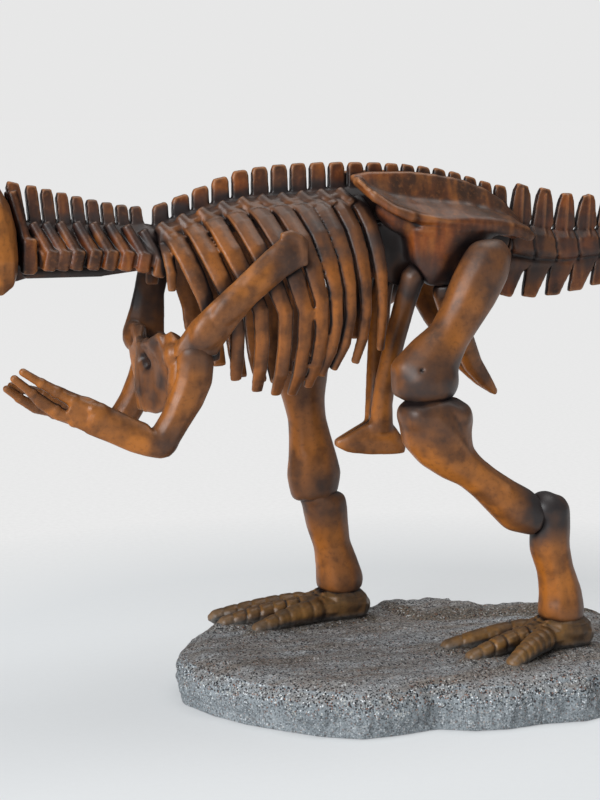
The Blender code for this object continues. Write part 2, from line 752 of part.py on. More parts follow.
def make_ribs(name, side, paint, parts, cutters):
    """One side of the rib cage: its ribs on the ledge of the side processes of the vertebrae."""
    ledge = bmesh.new()
    rings = []
    first_x = RIB_FIRST_X + (RIGHT_RIBS_BACK if side == 1 else 0.0)
    first = RIB_FIRST_X - 5
    last = first_x + RIB_SPACING * (RIB_COUNT - 1) + 1.2
    inner = SPINE_HALF_WIDTH + 2 * HALF_GAP
    for step in range(RIB_COUNT + 1):
        x = first + (last - first) * step / RIB_COUNT
        z = spine_height(x)
        rings.append(
            [(x, inner, z + 7.5), (x, LEDGE_REACH, z + 5.5), (x, LEDGE_REACH, z + 1.0), (x, inner, z + 0.5)]
        )
    loft(ledge, rings)
    cage = add_part(name, ledge, paint, parts, side)
    ribs = bmesh.new()
    shaft(ribs, SHORT_RIB, reference=(1.0, 0.0, 0.0), sides=6)
    for number in range(RIB_COUNT):
        shaft(ribs, rib_stations(number, first_x), reference=(1.0, 0.0, 0.0), sides=6)
    combine(cage, ribs, "UNION", cutters, side)


def skull_ring(x, top, bottom, top_half, bottom_half):
    height = top - bottom
    half = [
        (0.55 * top_half, top),
        (top_half, top - 0.16 * height),
        (bottom_half, bottom + 0.3 * height),
        (0.82 * bottom_half, bottom),
    ]
    corners = half + [(-y, z) for y, z in reversed(half)]
    return [(x, y, z) for y, z in corners]


def window(x, z, half_length, half_height, tilt):
    """An oval prism right across the head, which leaves a matching opening in each cheek."""
    builder = bmesh.new()
    place = Matrix.Translation((x, 0.0, z)) @ Matrix.Rotation(tilt, 4, "Y")
    place @= Matrix.Diagonal((half_length, 1.0, half_height, 1.0)) @ Matrix.Rotation(math.pi / 2, 4, "X")
    bmesh.ops.create_cone(
        builder, cap_ends=True, segments=OPENING_SIDES, radius1=1.0, radius2=1.0, depth=80.0, matrix=place
    )
    return builder


def add_tooth(builder, root, direction, length):
    """A four-sided cone whose root is sunk into the jaw."""
    direction = Vector(direction).normalized()
    turn = Vector((0, 0, 1)).rotation_difference(direction).to_matrix().to_4x4()
    place = Matrix.Translation(Vector(root) + direction * (length / 2 - 2.0)) @ turn
    bmesh.ops.create_cone(
        builder, cap_ends=True, segments=4, radius1=1.9, radius2=0.3, depth=length, matrix=place
    )


def make_skull(paint, parts, cutters):
    builder = bmesh.new()
    loft(builder, [skull_ring(*station) for station in SKULL_STATIONS])
    skull = add_part("skull", builder, paint, parts)
    for opening in SKULL_OPENINGS:
        combine(skull, window(*opening), "DIFFERENCE", cutters)
    teeth = bmesh.new()
    for number in range(UPPER_TEETH):
        share = number / (UPPER_TEETH - 1)
        x = UPPER_TOOTH_ROW[0] + (UPPER_TOOTH_ROW[1] - UPPER_TOOTH_ROW[0]) * share
        bottom = smooth([(-row[0], row[2]) for row in SKULL_STATIONS], -x)
        half = smooth([(-row[0], row[4]) for row in SKULL_STATIONS], -x)
        length = 9.0 + 2.5 * math.sin(math.pi * share) + 0.8 * (number % 2)
        for side in (1, -1):
            add_tooth(teeth, (x, side * (0.82 * half - 1.9), bottom), (0.12, 0.05 * side, -1.0), length)
    combine(skull, teeth, "UNION", cutters)


def make_mandible(paint, parts, cutters):
    """Lower jaw: two branches that meet at the chin, modelled as one bar bent like a bow."""
    branch = list(JAW_STATIONS)
    other = [(x, -y, z, tall, thick) for x, y, z, tall, thick in reversed(branch[:-1])]
    builder = bmesh.new()
    shaft(builder, branch + other, reference=(0.0, 0.0, 1.0))
    trim(builder, (0.0, 0.0, JAW_JOINT_HEIGHT - HALF_GAP), (0.0, 0.0, 1.0))
    jaw = add_part("mandible", builder, paint, parts)
    teeth = bmesh.new()
    line = [(-x, y, z + 0.8 * tall) for x, y, z, tall, _ in JAW_STATIONS]
    for number in range(LOWER_TEETH):
        share = number / (LOWER_TEETH - 1)
        x = LOWER_TOOTH_ROW[0] + (LOWER_TOOTH_ROW[1] - LOWER_TOOTH_ROW[0]) * share
        out = smooth([(row[0], row[1]) for row in line], -x)
        top = smooth([(row[0], row[2]) for row in line], -x)
        length = 7.5 + 2.0 * math.sin(math.pi * share)
        for side in (1, -1):
            add_tooth(teeth, (x, side * out, top), (-0.25, 0.05 * side, 1.0), length)
    combine(jaw, teeth, "UNION", cutters)


def make_ilium(name, side, paint, parts, cutters):
    """Hip bone: a long blade beside the sacrum whose lower rim flares out over the thigh."""
    inner = HIP_BONE_INNER + HALF_GAP
    rings = []
    for x, top, rim, reach, low in ILIUM_STATIONS:
        rings.append(
            [
                (x, inner, top),
                (x, inner + 3.5, top),
                (x, inner + 4.5 + 0.15 * (reach - inner), (top + rim) / 2 - 1.5),
                (x, reach, rim + 1.5),
                (x, reach, rim - 1.5),
                (x, inner + 0.5 * (reach - inner), (low + rim) / 2),
                (x, inner, low),
            ]
        )
    blade = bmesh.new()
    loft(blade, rings)
    ilium = add_part(name, blade, paint, parts, side)
    boss = bmesh.new()
    rings = []
    for z, front, back, near, far in HIP_BOSS_STATIONS:
        middle = (front + back) / 2
        corners = ((front, near), (middle, near), (back, near), (back, far), (middle, far), (front, far))
        rings.append([(x, y, z) for x, y in corners])
    loft(boss, rings)
    trim(boss, PUBIS_JOINT - PUBIS_FACING * HALF_GAP, PUBIS_FACING)
    combine(ilium, boss, "UNION", cutters, side)
    wall = bmesh.new()
    rings = []
    for z, front, back, far in HIP_WALL_STATIONS:
        rings.append([(front, inner, z), (back, inner, z), (back, far, z), (front + 2, far, z)])
    loft(wall, rings)
    combine(ilium, wall, "UNION", cutters, side)


def make_pubis(name, side, paint, parts, cutters):
    """Slender bone down from the hip, swelling into half of the boot at its foot."""
    rod = bmesh.new()
    shaft(rod, PUBIS_STATIONS)
    trim(rod, PUBIS_JOINT + PUBIS_FACING * HALF_GAP, -PUBIS_FACING)
    trim(rod, (0.0, HALF_GAP, 0.0), (0.0, -1.0, 0.0))
    pubis = add_part(name, rod, paint, parts, side)
    boot = bmesh.new()
    rings = []
    for x, low, high, thick in BOOT_STATIONS:
        middle = (low + high) / 2
        rings.append(
            [
                (x, HALF_GAP, low),
                (x, HALF_GAP, high),
                (x, 0.7 * thick, high),
                (x, thick, middle),
                (x, 0.7 * thick, low),
            ]
        )
    loft(boot, rings)
    combine(pubis, boot, "UNION", cutters, side)


def make_ischium(name, side, paint, parts):
    """Tapered bone down and back from the hip, meeting its twin in the animal's middle plane."""
    builder = bmesh.new()
    shaft(builder, ISCHIUM_STATIONS)
    trim(builder, (0.0, 0.0, ISCHIUM_JOINT_HEIGHT - HALF_GAP), (0.0, 0.0, 1.0))
    trim(builder, (0.0, HALF_GAP, 0.0), (0.0, -1.0, 0.0))
    add_part(name, builder, paint, parts, side)


def make_scapula(name, side, blade_stations, plate_stations, paint, parts, cutters):
    """Shoulder blade laid over the ribs, with the chest plate that meets its twin in front."""
    blade = bmesh.new()
    shaft(blade, blade_stations)
    trim(blade, (0.0, 0.0, SHOULDER_HEIGHT + HALF_GAP), (0.0, 0.0, -1.0))
    scapula = add_part(name, blade, paint, parts, side)
    plate = bmesh.new()
    shaft(plate, plate_stations, reference=(0.0, 0.0, 1.0))
    trim(plate, (0.0, HALF_GAP, 0.0), (0.0, -1.0, 0.0))
    combine(scapula, plate, "UNION", cutters, side)
    arm_room = bmesh.new()
    top = SHOULDER_HEIGHT + HALF_GAP
    centre = (ARM_ROOM_X, PLATE_REACH + ARM_ROOM_WIDTH / 2, top - ARM_ROOM_WIDTH)
    size = (ARM_ROOM_LENGTH, ARM_ROOM_WIDTH, 2 * ARM_ROOM_WIDTH, 1.0)
    place = Matrix.Translation(centre) @ Matrix.Diagonal(size)
    bmesh.ops.create_cube(arm_room, size=1.0, matrix=place)
    combine(scapula, arm_room, "DIFFERENCE", cutters, side)


def make_arm(side_name, side, ahead, swing, finger_stations, paint, parts, cutters):
    """Upper arm, forearm and two-fingered hand, `ahead` of their place; `swing` turns the elbow."""
    upper = bmesh.new()
    shaft(upper, HUMERUS_STATIONS)
    trim(upper, (0.0, 0.0, SHOULDER_HEIGHT - HALF_GAP), (0.0, 0.0, 1.0))
    trim(upper, ELBOW - swing @ ELBOW_FACING * HALF_GAP, swing @ ELBOW_FACING)
    lower = bmesh.new()
    shaft(lower, FOREARM_STATIONS)
    trim(lower, ELBOW + ELBOW_FACING * HALF_GAP, -ELBOW_FACING)
    trim(lower, WRIST - WRIST_FACING * HALF_GAP, WRIST_FACING)
    palm = bmesh.new()
    shaft(palm, PALM_STATIONS)
    trim(palm, WRIST + WRIST_FACING * HALF_GAP, -WRIST_FACING)
    fingers = [bmesh.new(), bmesh.new()]
    for finger, stations in zip(fingers, finger_stations):
        shaft(finger, stations, sides=6)
    for piece in (lower, palm, *fingers):
        bmesh.ops.rotate(piece, cent=ELBOW, matrix=swing, verts=piece.verts)
    for piece in (upper, lower, palm, *fingers):
        bmesh.ops.translate(piece, vec=(-ahead, 0.0, 0.0), verts=piece.verts)
    add_part(f"humerus_{side_name}", upper, paint, parts, side)
    add_part(f"forearm_{side_name}", lower, paint, parts, side)
    hand = add_part(f"hand_{side_name}", palm, paint, parts, side)
    for finger in fingers:
        combine(hand, finger, "UNION", cutters, side)


def make_leg(side_name, side, leg, paint, parts, cutters):
    """Thigh, shin, instep and three-toed foot, each a solid cut flat where it meets the next."""
    knee = Vector((0.0, 0.0, leg["knee_height"]))
    ankle = Vector(leg["ankle"])
    facing = Vector(leg["ankle_facing"]).normalized()
    instep_foot = Vector((0.0, 0.0, leg["foot_height"]))
    up = Vector((0.0, 0.0, 1.0))
    thigh = bmesh.new()
    shaft(thigh, leg["femur"])
    trim(thigh, (0.0, HIP_FACE + HALF_GAP, 0.0), (0.0, -1.0, 0.0))
    trim(thigh, knee + up * HALF_GAP, -up)
    add_part(f"femur_{side_name}", thigh, paint, parts, side)
    shin = bmesh.new()
    shaft(shin, leg["tibia"])
    trim(shin, knee - up * HALF_GAP, up)
    trim(shin, ankle - facing * HALF_GAP, facing)
    add_part(f"tibia_{side_name}", shin, paint, parts, side)
    instep = bmesh.new()
    shaft(instep, leg["metatarsus"])
    trim(instep, ankle + facing * HALF_GAP, -facing)
    trim(instep, instep_foot + up * HALF_GAP, -up)
    add_part(f"metatarsus_{side_name}", instep, paint, parts, side)
    make_foot(f"foot_{side_name}", side, leg, paint, parts, cutters)


def make_foot(name, side, leg, paint, parts, cutters):
    """Rounded sole under the instep, with three toes spread in front of it on the slab."""
    middle = leg["sole_x"]
    out = leg["sole_out"]
    floor = (0.0, 0.0, SLAB_TOP + HALF_GAP * 2)
    down = (0.0, 0.0, -1.0)
    sole = bmesh.new()
    stations = [(middle + x, out, SLAB_TOP + z, across, deep) for x, z, across, deep in SOLE_STATIONS]
    shaft(sole, stations)
    trim(sole, (0.0, 0.0, leg["foot_height"] - HALF_GAP), (0.0, 0.0, 1.0))
    trim(sole, floor, down)
    foot = add_part(name, sole, paint, parts, side)
    for spread, tip in zip((-TOE_ROOT_SPREAD, 0.0, TOE_ROOT_SPREAD), leg["toe_tips"]):
        root = Vector((middle - TOE_ROOT_AHEAD, out + spread, SLAB_TOP + 8.0))
        end = Vector((tip[0], tip[1], SLAB_TOP + 1.5))
        toe = bmesh.new()
        stations = []
        for share, across, deep, rise in TOE_STATIONS:
            place = root.lerp(end, share)
            stations.append((place.x, place.y, place.z + rise, across, deep))
        shaft(toe, stations, sides=6)
        trim(toe, floor, down)
        combine(foot, toe, "UNION", cutters, side)


def main():
    clear_scene()
    parts = new_collection("mounted_dinosaur_skeleton")
    cutters = new_collection("cutters")
    bronze = new_paint("bronze_wash", (0.20, 0.10, 0.045), 0.42, 0.25)
    stone = new_paint("speckled_stone", (0.20, 0.20, 0.20), 0.8, 0.0)
    make_slab(stone, parts, cutters)
    make_backbone(bronze, parts)
    make_skull(bronze, parts, cutters)
    make_mandible(bronze, parts, cutters)
    right_swing = Matrix.Rotation(RIGHT_FOREARM_YAW, 4, "Z") @ Matrix.Rotation(RIGHT_FOREARM_TURN, 4, "Y")
    make_arm("left", -1, 0.0, Matrix.Identity(4), FINGERS_LEFT, bronze, parts, cutters)
    make_arm("right", 1, RIGHT_ARM_AHEAD, right_swing, FINGERS_RIGHT, bronze, parts, cutters)
    make_scapula("scapula_left", -1, SCAPULA_LEFT, CORACOID_LEFT, bronze, parts, cutters)
    make_scapula("scapula_right", 1, SCAPULA_RIGHT, CORACOID_RIGHT, bronze, parts, cutters)
    for side_name, side, leg in (("left", -1, LEFT_LEG), ("right", 1, RIGHT_LEG)):
        make_ribs(f"ribs_{side_name}", side, bronze, parts, cutters)
        make_ilium(f"ilium_{side_name}", side, bronze, parts, cutters)
        make_pubis(f"pubis_{side_name}", side, bronze, parts, cutters)
        make_ischium(f"ischium_{side_name}", side, bronze, parts)
        make_leg(side_name, side, leg, bronze, parts, cutters)


main()
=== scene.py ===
import math

import bpy
import numpy as np
from mathutils import Matrix, Vector, noise
from mathutils.bvhtree import BVHTree


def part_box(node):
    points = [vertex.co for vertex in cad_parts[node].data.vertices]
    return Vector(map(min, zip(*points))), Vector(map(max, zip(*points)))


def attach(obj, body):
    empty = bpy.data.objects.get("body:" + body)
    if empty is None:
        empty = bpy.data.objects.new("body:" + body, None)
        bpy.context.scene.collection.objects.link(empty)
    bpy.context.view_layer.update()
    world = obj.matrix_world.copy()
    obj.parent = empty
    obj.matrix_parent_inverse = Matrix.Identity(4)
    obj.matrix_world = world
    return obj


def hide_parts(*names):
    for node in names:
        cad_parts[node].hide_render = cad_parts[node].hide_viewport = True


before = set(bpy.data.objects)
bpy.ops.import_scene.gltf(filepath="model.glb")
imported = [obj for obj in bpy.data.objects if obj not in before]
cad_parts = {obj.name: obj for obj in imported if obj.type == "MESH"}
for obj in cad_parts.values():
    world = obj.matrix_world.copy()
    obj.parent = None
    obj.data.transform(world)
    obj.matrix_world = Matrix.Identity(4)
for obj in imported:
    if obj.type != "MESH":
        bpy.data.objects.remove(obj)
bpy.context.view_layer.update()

MM = 0.001    # sizes and places are in millimetres, apart from those in paints and the studio


# ---------------------------------------------------------------------------------------------
# Slab of rock: a resin casting with a worn, chipped edge and a rough raised step along its
# back, sprayed with stone-fleck paint. The feet are cast into it, and the brown of the bones
# has gone on to the stone around them. The same brown is laid on the step's front face as
# painted shade.
# ---------------------------------------------------------------------------------------------

SLAB_TOP = 25.0
ROCK_GRAIN = 1.0
ROCK_ROUNDING = 1.6
DEEPEST_BITE = 5.8
HIGHEST_STEP = 6.0
TOP_DROP = 0.65        # the strata lie a little under the slab's plain top
FOOT_BED = 2.3         # and the stone rises this much where it meets a foot
FAR_FROM_FEET = 50.0

SIDE_GREY, SIDE_PALE = (0.225, 0.252, 0.27), (0.30, 0.33, 0.35)
TOP_GREY, TOP_BROWN = (0.255, 0.26, 0.265), (0.19, 0.165, 0.145)
# Brown overspray round the feet, also used as painted shade on the step's front face.
OVERSPRAY_AND_SHADE_BROWN = (0.085, 0.06, 0.035)
GRAIN_DARK, GRAIN_PALE = (0.03, 0.03, 0.033), (0.62, 0.64, 0.65)

# Each kind of fleck: cells to the metre, the share of cells left bare, colour, how strong it is
# on the sides, and how much of that is left on top.
FLECKS = (
    (1250, 0.88, (0.88, 0.90, 0.92), 0.95, 0.3),
    (920, 0.76, (0.006, 0.006, 0.009), 1.0, 0.85),
    (1300, 0.78, (0.02, 0.018, 0.02), 0.95, 0.9),
    (1150, 0.92, (0.23, 0.09, 0.04), 0.85, 0.6),
    (850, 0.93, (0.05, 0.03, 0.03), 0.9, 0.8),
    (980, 0.93, (0.55, 0.54, 0.50), 0.8, 0.3),
)


def only(*objects):
    """Leave just these objects selected, with the first one active."""
    bpy.ops.object.select_all(action="DESELECT")
    for obj in objects:
        obj.select_set(True)
    bpy.context.view_layer.objects.active = objects[0]


def take(node, name):
    """A closed copy of a node's solid, its loose triangles merged, to be worked up."""
    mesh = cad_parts[node].data.copy()
    mesh.name = name
    mesh.materials.clear()
    piece = bpy.data.objects.new(name, mesh)
    bpy.context.scene.collection.objects.link(piece)
    only(piece)
    bpy.ops.object.mode_set(mode="EDIT")
    bpy.ops.mesh.select_all(action="SELECT")
    bpy.ops.mesh.remove_doubles(threshold=1e-5)
    bpy.ops.mesh.normals_make_consistent(inside=False)
    bpy.ops.object.mode_set(mode="OBJECT")
    return piece


def fuse(piece, added, grain):
    """Join the added forms to a piece and recast all of it as one skin of this grain."""
    only(piece, *added)
    if added:
        bpy.ops.object.join()
    skin = piece.modifiers.new("skin", "REMESH")
    skin.mode = "VOXEL"
    skin.voxel_size = grain * MM
    bpy.ops.object.modifier_apply(modifier=skin.name)


def smooth_out(piece, grain, radius, group=""):
    """Smooth away what is smaller than a radius, all over or as far as a group says."""
    ease = piece.modifiers.new("ease", "SMOOTH")
    ease.factor = 0.5
    ease.iterations = max(1, round(4 * (radius / grain) ** 2))
    ease.vertex_group = group
    only(piece)
    bpy.ops.object.modifier_apply(modifier=ease.name)


def soften(piece, grain, radius, swell=0.0):
    """Round everything smaller than a radius, and swell the skin to make up for it."""
    smooth_out(piece, grain, radius)
    if swell:
        grow = piece.modifiers.new("grow", "DISPLACE")
        grow.strength = swell * MM
        grow.mid_level = 0.0
        bpy.ops.object.modifier_apply(modifier=grow.name)
    bpy.ops.object.shade_smooth()


def points_of(piece):
    """Where the piece's points lie, in metres."""
    places = np.empty(len(piece.data.vertices) * 3, np.float32)
    piece.data.vertices.foreach_get("co", places)
    return places.reshape(-1, 3).astype(float)


def normals_of(piece):
    """Which way the skin faces at each point."""
    ways = np.empty(len(piece.data.vertices) * 3, np.float32)
    piece.data.vertex_normals.foreach_get("vector", ways)
    return ways.reshape(-1, 3).astype(float)


def set_points(piece, places):
    """Move the piece's points to these places, in metres."""
    piece.data.vertices.foreach_set("co", places.astype(np.float32).ravel())
    piece.data.update()


def set_layer(piece, name, values):
    """Store a value at each point of a piece, for its paint to read."""
    layer = piece.data.attributes.new(name, "FLOAT", "POINT")
    layer.data.foreach_set("value", values.astype(np.float32))


def ramp(value, low, high):
    """A share that eases from 0 at the low value to 1 at the high one."""
    share = np.clip((value - low) / (high - low), 0, 1)
    return share * share * (3 - 2 * share)


def lumps(places, size, octaves, seed):
    """Fractal noise at points in millimetres, from about -1 to 1, with lumps of that size."""
    shift = Vector((seed, seed * 1.7, -seed))
    return np.array([noise.fractal(Vector(p) / size + shift, 1.0, 2.0, octaves) for p in places])


def shader_of(name):
    """A new material, with its node tree and its surface shader."""
    material = bpy.data.materials.new(name)
    material.use_nodes = True
    tree = material.node_tree
    return material, tree, tree.nodes["Principled BSDF"]


def make(tree, kind, **settings):
    """A new node with these settings."""
    node = tree.nodes.new(kind)
    for key, value in settings.items():
        setattr(node, key, value)
    return node


def set_inputs(node, **values):
    """Set a node's inputs by name, with an underscore for each space."""
    for key, value in values.items():
        node.inputs[key.replace("_", " ")].default_value = value


def separate(tree, vector):
    """The X, Y and Z outputs of a vector's parts."""
    node = make(tree, "ShaderNodeSeparateXYZ")
    tree.links.new(vector, node.inputs[0])
    return node.outputs


def mapped(tree, place, **amount):
    """The place moved by a Location, or stretched by a Scale."""
    node = make(tree, "ShaderNodeMapping")
    set_inputs(node, **amount)
    tree.links.new(place, node.inputs["Vector"])
    return node.outputs["Vector"]


def layer_value(tree, name):
    """The value that set_layer stored."""
    return make(tree, "ShaderNodeAttribute", attribute_name=name).outputs["Fac"]


def noise_node(tree, place, scale, detail=3.0, roughness=0.55):
    """Noise from 0 to 1, with this many lumps to the metre."""
    node = make(tree, "ShaderNodeTexNoise")
    set_inputs(node, Scale=scale, Detail=detail, Roughness=roughness)
    tree.links.new(place, node.inputs["Vector"])
    return node.outputs["Fac"]


def band(tree, value, low, high, to_low=0.0, to_high=1.0):
    """Map a value between low and high to another range, and hold it there beyond them."""
    node = make(tree, "ShaderNodeMapRange")
    set_inputs(node, From_Min=low, From_Max=high, To_Min=to_low, To_Max=to_high)
    tree.links.new(value, node.inputs["Value"])
    return node.outputs["Result"]


def blend_colour(tree, share, below, above):
    """Mix two colours, each a tuple or a socket, by a share that is a socket or a number."""
    node = make(tree, "ShaderNodeMix", data_type="RGBA")
    for key, value in ((0, share), (6, below), (7, above)):
        if isinstance(value, bpy.types.NodeSocket):
            tree.links.new(value, node.inputs[key])
        elif key:
            node.inputs[key].default_value = (*value, 1.0)
        else:
            node.inputs[key].default_value = value
    return node.outputs[2]


def multiply(tree, first, second):
    """The product of two values, each a socket or a number."""
    node = make(tree, "ShaderNodeMath", operation="MULTIPLY")
    for i, value in enumerate((first, second)):
        if isinstance(value, bpy.types.NodeSocket):
            tree.links.new(value, node.inputs[i])
        else:
            node.inputs[i].default_value = value
    return node.outputs[0]


def bumped(tree, height, strength, distance, under=None):
    """The normal bent by a height, on top of one that is bent already where that is given."""
    node = make(tree, "ShaderNodeBump")
    set_inputs(node, Strength=strength, Distance=distance)
    tree.links.new(height, node.inputs["Height"])
    if under is not None:
        tree.links.new(under, node.inputs["Normal"])
    return node.outputs["Normal"]


def stone_paint():
    """Grey spray with black, white, brown and ochre flecks, browner on top of the slab, with brown
    overspray round the feet and the same brown as painted shade on the step's front face.
    """
    material, tree, shader = shader_of("stone_fleck_spray")
    place = make(tree, "ShaderNodeTexCoord").outputs["Object"]
    normal = separate(tree, make(tree, "ShaderNodeNewGeometry").outputs["Normal"])
    cloudy = noise_node(tree, place, 45)
    side = blend_colour(tree, band(tree, cloudy, 0.35, 0.65), SIDE_GREY, SIDE_PALE)
    streaks = noise_node(tree, mapped(tree, place, Scale=(0.35, 1.6, 1.0)), 55, 4)
    top = blend_colour(tree, band(tree, streaks, 0.38, 0.62), TOP_GREY, TOP_BROWN)
    base = blend_colour(tree, band(tree, normal["Z"], 0.25, 0.85), side, top)
    # Overspray round the feet, and painted shade on the front face of the raised step.
    base = blend_colour(tree, layer_value(tree, "overspray_and_step_shade"), base, OVERSPRAY_AND_SHADE_BROWN)
    grains = noise_node(tree, place, 1100, 2, 0.6)
    base = blend_colour(tree, band(tree, grains, 0.5, 0.36, 0.0, 0.4), base, GRAIN_DARK)
    base = blend_colour(tree, band(tree, grains, 0.54, 0.68, 0.0, 0.22), base, GRAIN_PALE)
    above_rim = band(tree, separate(tree, place)["Z"], 0.007, 0.018, 0.42, 1.0)
    for scale, bare, colour, strength, on_top in FLECKS:
        moved = mapped(tree, place, Location=(scale * 0.001, bare, 0.3))
        cells = make(tree, "ShaderNodeTexVoronoi")
        set_inputs(cells, Scale=scale)
        tree.links.new(moved, cells.inputs["Vector"])
        dice = make(tree, "ShaderNodeSeparateColor")
        tree.links.new(cells.outputs["Color"], dice.inputs[0])
        chosen = band(tree, dice.outputs[0], bare, bare + 0.01, 0.0, strength)
        near = band(tree, cells.outputs["Distance"], 0.45, 0.62, 1.0, 0.0)
        left = multiply(tree, above_rim, band(tree, normal["Z"], 0.3, 0.9, 1.0, on_top))
        base = blend_colour(tree, multiply(tree, multiply(tree, chosen, near), left), base, colour)
    tree.links.new(base, shader.inputs["Base Color"])
    set_inputs(shader, Roughness=0.86, Specular_IOR_Level=0.3)
    grit = bumped(tree, noise_node(tree, place, 700, 3, 0.7), 0.7, 0.0006)
    pits = bumped(tree, noise_node(tree, place, 160, 4, 0.6), 0.6, 0.0012, under=grit)
    tree.links.new(pits, shader.inputs["Normal"])
    return material


def nearest_solid(names):
    """A search tree over the solids of these nodes."""
    corners, faces = [], []
    for name in names:
        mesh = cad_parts[name].data
        start = len(corners)
        corners += [v.co.copy() for v in mesh.vertices]
        faces += [[start + i for i in polygon.vertices] for polygon in mesh.polygons]
    return BVHTree.FromPolygons(corners, faces)


def edge_wear(places, ways):
    """How far in the slab's side is worn, with bites, chips, flutes and low shelves."""
    z = places[:, 2]
    side = 1 - ramp(np.abs(ways[:, 2]), 0.45, 0.95)
    upright = places * [1, 1, 0.45]
    bites = lumps(upright, 26, 2, 3.0) * 1.7 + lumps(upright, 9, 3, 7.0) * 1.7
    bites = bites + lumps(places * [1, 1, 0.6], 3.4, 2, 1.0) * 0.8
    shelf = 0.9 * np.sin(z / SLAB_TOP * 9 + lumps(upright, 30, 1, 5.0) * 4)
    chips = 1.8 * ramp(lumps(places, 7, 3, 13.0), 0.1, 0.6) * ramp(z, 15.0, 22.0)
    flutes = 0.8 * lumps(places * [1, 1, 0.12], 5, 2, 17.0)
    worn = np.clip(1.5 + bites + shelf * 0.7 + chips + flutes, 0.0, DEEPEST_BITE)
    return worn * side * (0.35 + 0.65 * ramp(z, 1.0, 6.0))


def gap_to_feet(places):
    """How far each spot near the slab's top lies from the feet."""
    feet = nearest_solid(["foot_left", "foot_right"])
    gap = np.full(len(places), FAR_FROM_FEET)
    for i in np.nonzero(places[:, 2] > SLAB_TOP - 7)[0]:
        found = feet.find_nearest(Vector(places[i] * MM), 20 * MM)
        if found[0] is not None:
            gap[i] = found[3] / MM
    return gap


def strata(places):
    """Low layers that run along the slab's top, with small lumps over them."""
    layers = lumps(places * [0.32, 1.0, 0.0], 9, 4, 11.0)
    return 0.75 * np.tanh(3.5 * layers) + 0.45 * lumps(places * [0.6, 1, 0], 4, 3, 2.0)


def behind_step(places):
    """How far back each spot lies from the front of the raised step behind the feet."""
    x, y = places[:, 0], places[:, 1]
    wander = 3.5 * lumps(places * [1, 0, 0], 22, 2, 4.0)
    return y - (24 + wander + 30 * (1 - ramp(x, 4, 26)) - 6 * ramp(x, 70, 100))


def step_height(places):
    """How high the step stands: it is rough, and lower towards the tail's end of the slab."""
    x = places[:, 0]
    rough = 0.35 * lumps(places, 6, 3, 9.0)
    rough = rough + 0.5 * np.tanh(4 * lumps(places * [1, 0.5, 0], 14, 2, 21.0))
    crest = 2.9 - 2.0 * ramp(x, 52, 60) + 0.8 * ramp(x, 66, 84) + rough
    return np.clip(crest, 0, HIGHEST_STEP)


def make_rock():
    rock = take("base", "rock_slab")
    fuse(rock, [], ROCK_GRAIN)
    soften(rock, ROCK_GRAIN, ROCK_ROUNDING)
    places, ways = points_of(rock) / MM, normals_of(rock)
    level = np.hypot(ways[:, 0], ways[:, 1]) + 1e-6
    outward = ways * [1, 1, 0] / level[:, None]
    places -= outward * edge_wear(places, ways)[:, None]
    on_top = ramp(places[:, 2], 19.0, 24.0) * ramp(ways[:, 2], 0.2, 0.7)
    gap = gap_to_feet(places)
    by_foot = 1 - ramp(gap, 0.5, 7.0)
    places[:, 2] += on_top * ((strata(places) - TOP_DROP) * (1 - by_foot) + FOOT_BED * by_foot)
    behind = behind_step(places)
    start = ramp(places[:, 0], 1.0, 12.0)
    places[:, 2] += on_top * (ramp(behind, 0.0, 7.0) * start) * step_height(places)
    set_points(rock, places * MM)
    stain = (1 - ramp(gap, 0.5, 11.0)) * (0.75 + 0.5 * lumps(places, 7, 2, 6.0))
    # Painted shade: the front face of the raised step is darkened as if in shadow.
    painted_step_shade = ramp(behind, -3.0, 2.0) * (1 - ramp(behind, 8.0, 22.0))
    painted_step_shade *= on_top * start * 0.8
    set_layer(rock, "overspray_and_step_shade", np.maximum(np.clip(stain, 0, 1) * 0.9, painted_step_shade))
    rock.data.materials.append(stone_paint())
    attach(rock, "root")
    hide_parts("base")


make_rock()


# ---------------------------------------------------------------------------------------------
# Feet: each a rounded ankle mound with three long toes, a fold pressed in between their joints,
# cast in one with the slab and half sunk in it. Resin under a bronze-brown paint, more golden
# here than above.
# ---------------------------------------------------------------------------------------------

FOOT_GRAIN = 0.55
FOOT_SIDE = 44.0                   # from the slab's middle line to a foot's
TOE_SPREADS = (-7.0, 0.0, 7.0)     # how far to the side of it each toe starts
TOE_ROOT_HEIGHT, TOE_TIP_HEIGHT = 33.5, 25.6
TOE_ARCH = 1.6
TOE_THICK, TOE_TAPER = 6.9, 3.1    # its radius at the root, and how much of it goes by the tip
FIRST_JOINT, JOINTS_RUN = 0.16, 0.76   # as shares of the way from root to tip
CLAW_THICK, CLAW_THIN = 3.2, 1.5
FOLD_WIDTH = 0.9
FOLD_DEPTHS = (0.42, 0.75, 0.42)   # on each toe, the middle one's being the deepest
FOLD_PATTERN = (1.15, 0.6, 0.95)   # and no two folds in a row are alike
LEFT_TOE_TIPS = ((5.0, 30.0), (9.0, 54.0), (25.0, 71.0))
RIGHT_TOE_TIPS = ((-76.0, 30.0), (-90.0, 49.0), (-91.0, 64.0))
ANKLE_BALLS = (                    # how far behind the foot's middle, height, and half sizes
    (1, 35.0, (15.5, 12.5, 9.0)),
    (-8, 32.5, (11.0, 13.0, 7.0)),
    (0.5, 36.5, (13.6, 12.6, 8.2)),
)

# The first colour is a painted grey sheen for the flanks.
# The second colour darkens faces turned up.
SHEEN_GREY_BROWN, DARK_ON_UPWARD_FACES = (0.115, 0.068, 0.044), (0.050, 0.030, 0.019)
STREAK_ORANGE, SPECK_ORANGE = (0.36, 0.12, 0.022), (0.40, 0.15, 0.045)
# The second colour is smoke round the joints and painted shade in shadowed places.
SPECK_DARK, SMOKE_AND_SHADE_GREY = (0.03, 0.016, 0.011), (0.028, 0.023, 0.023)
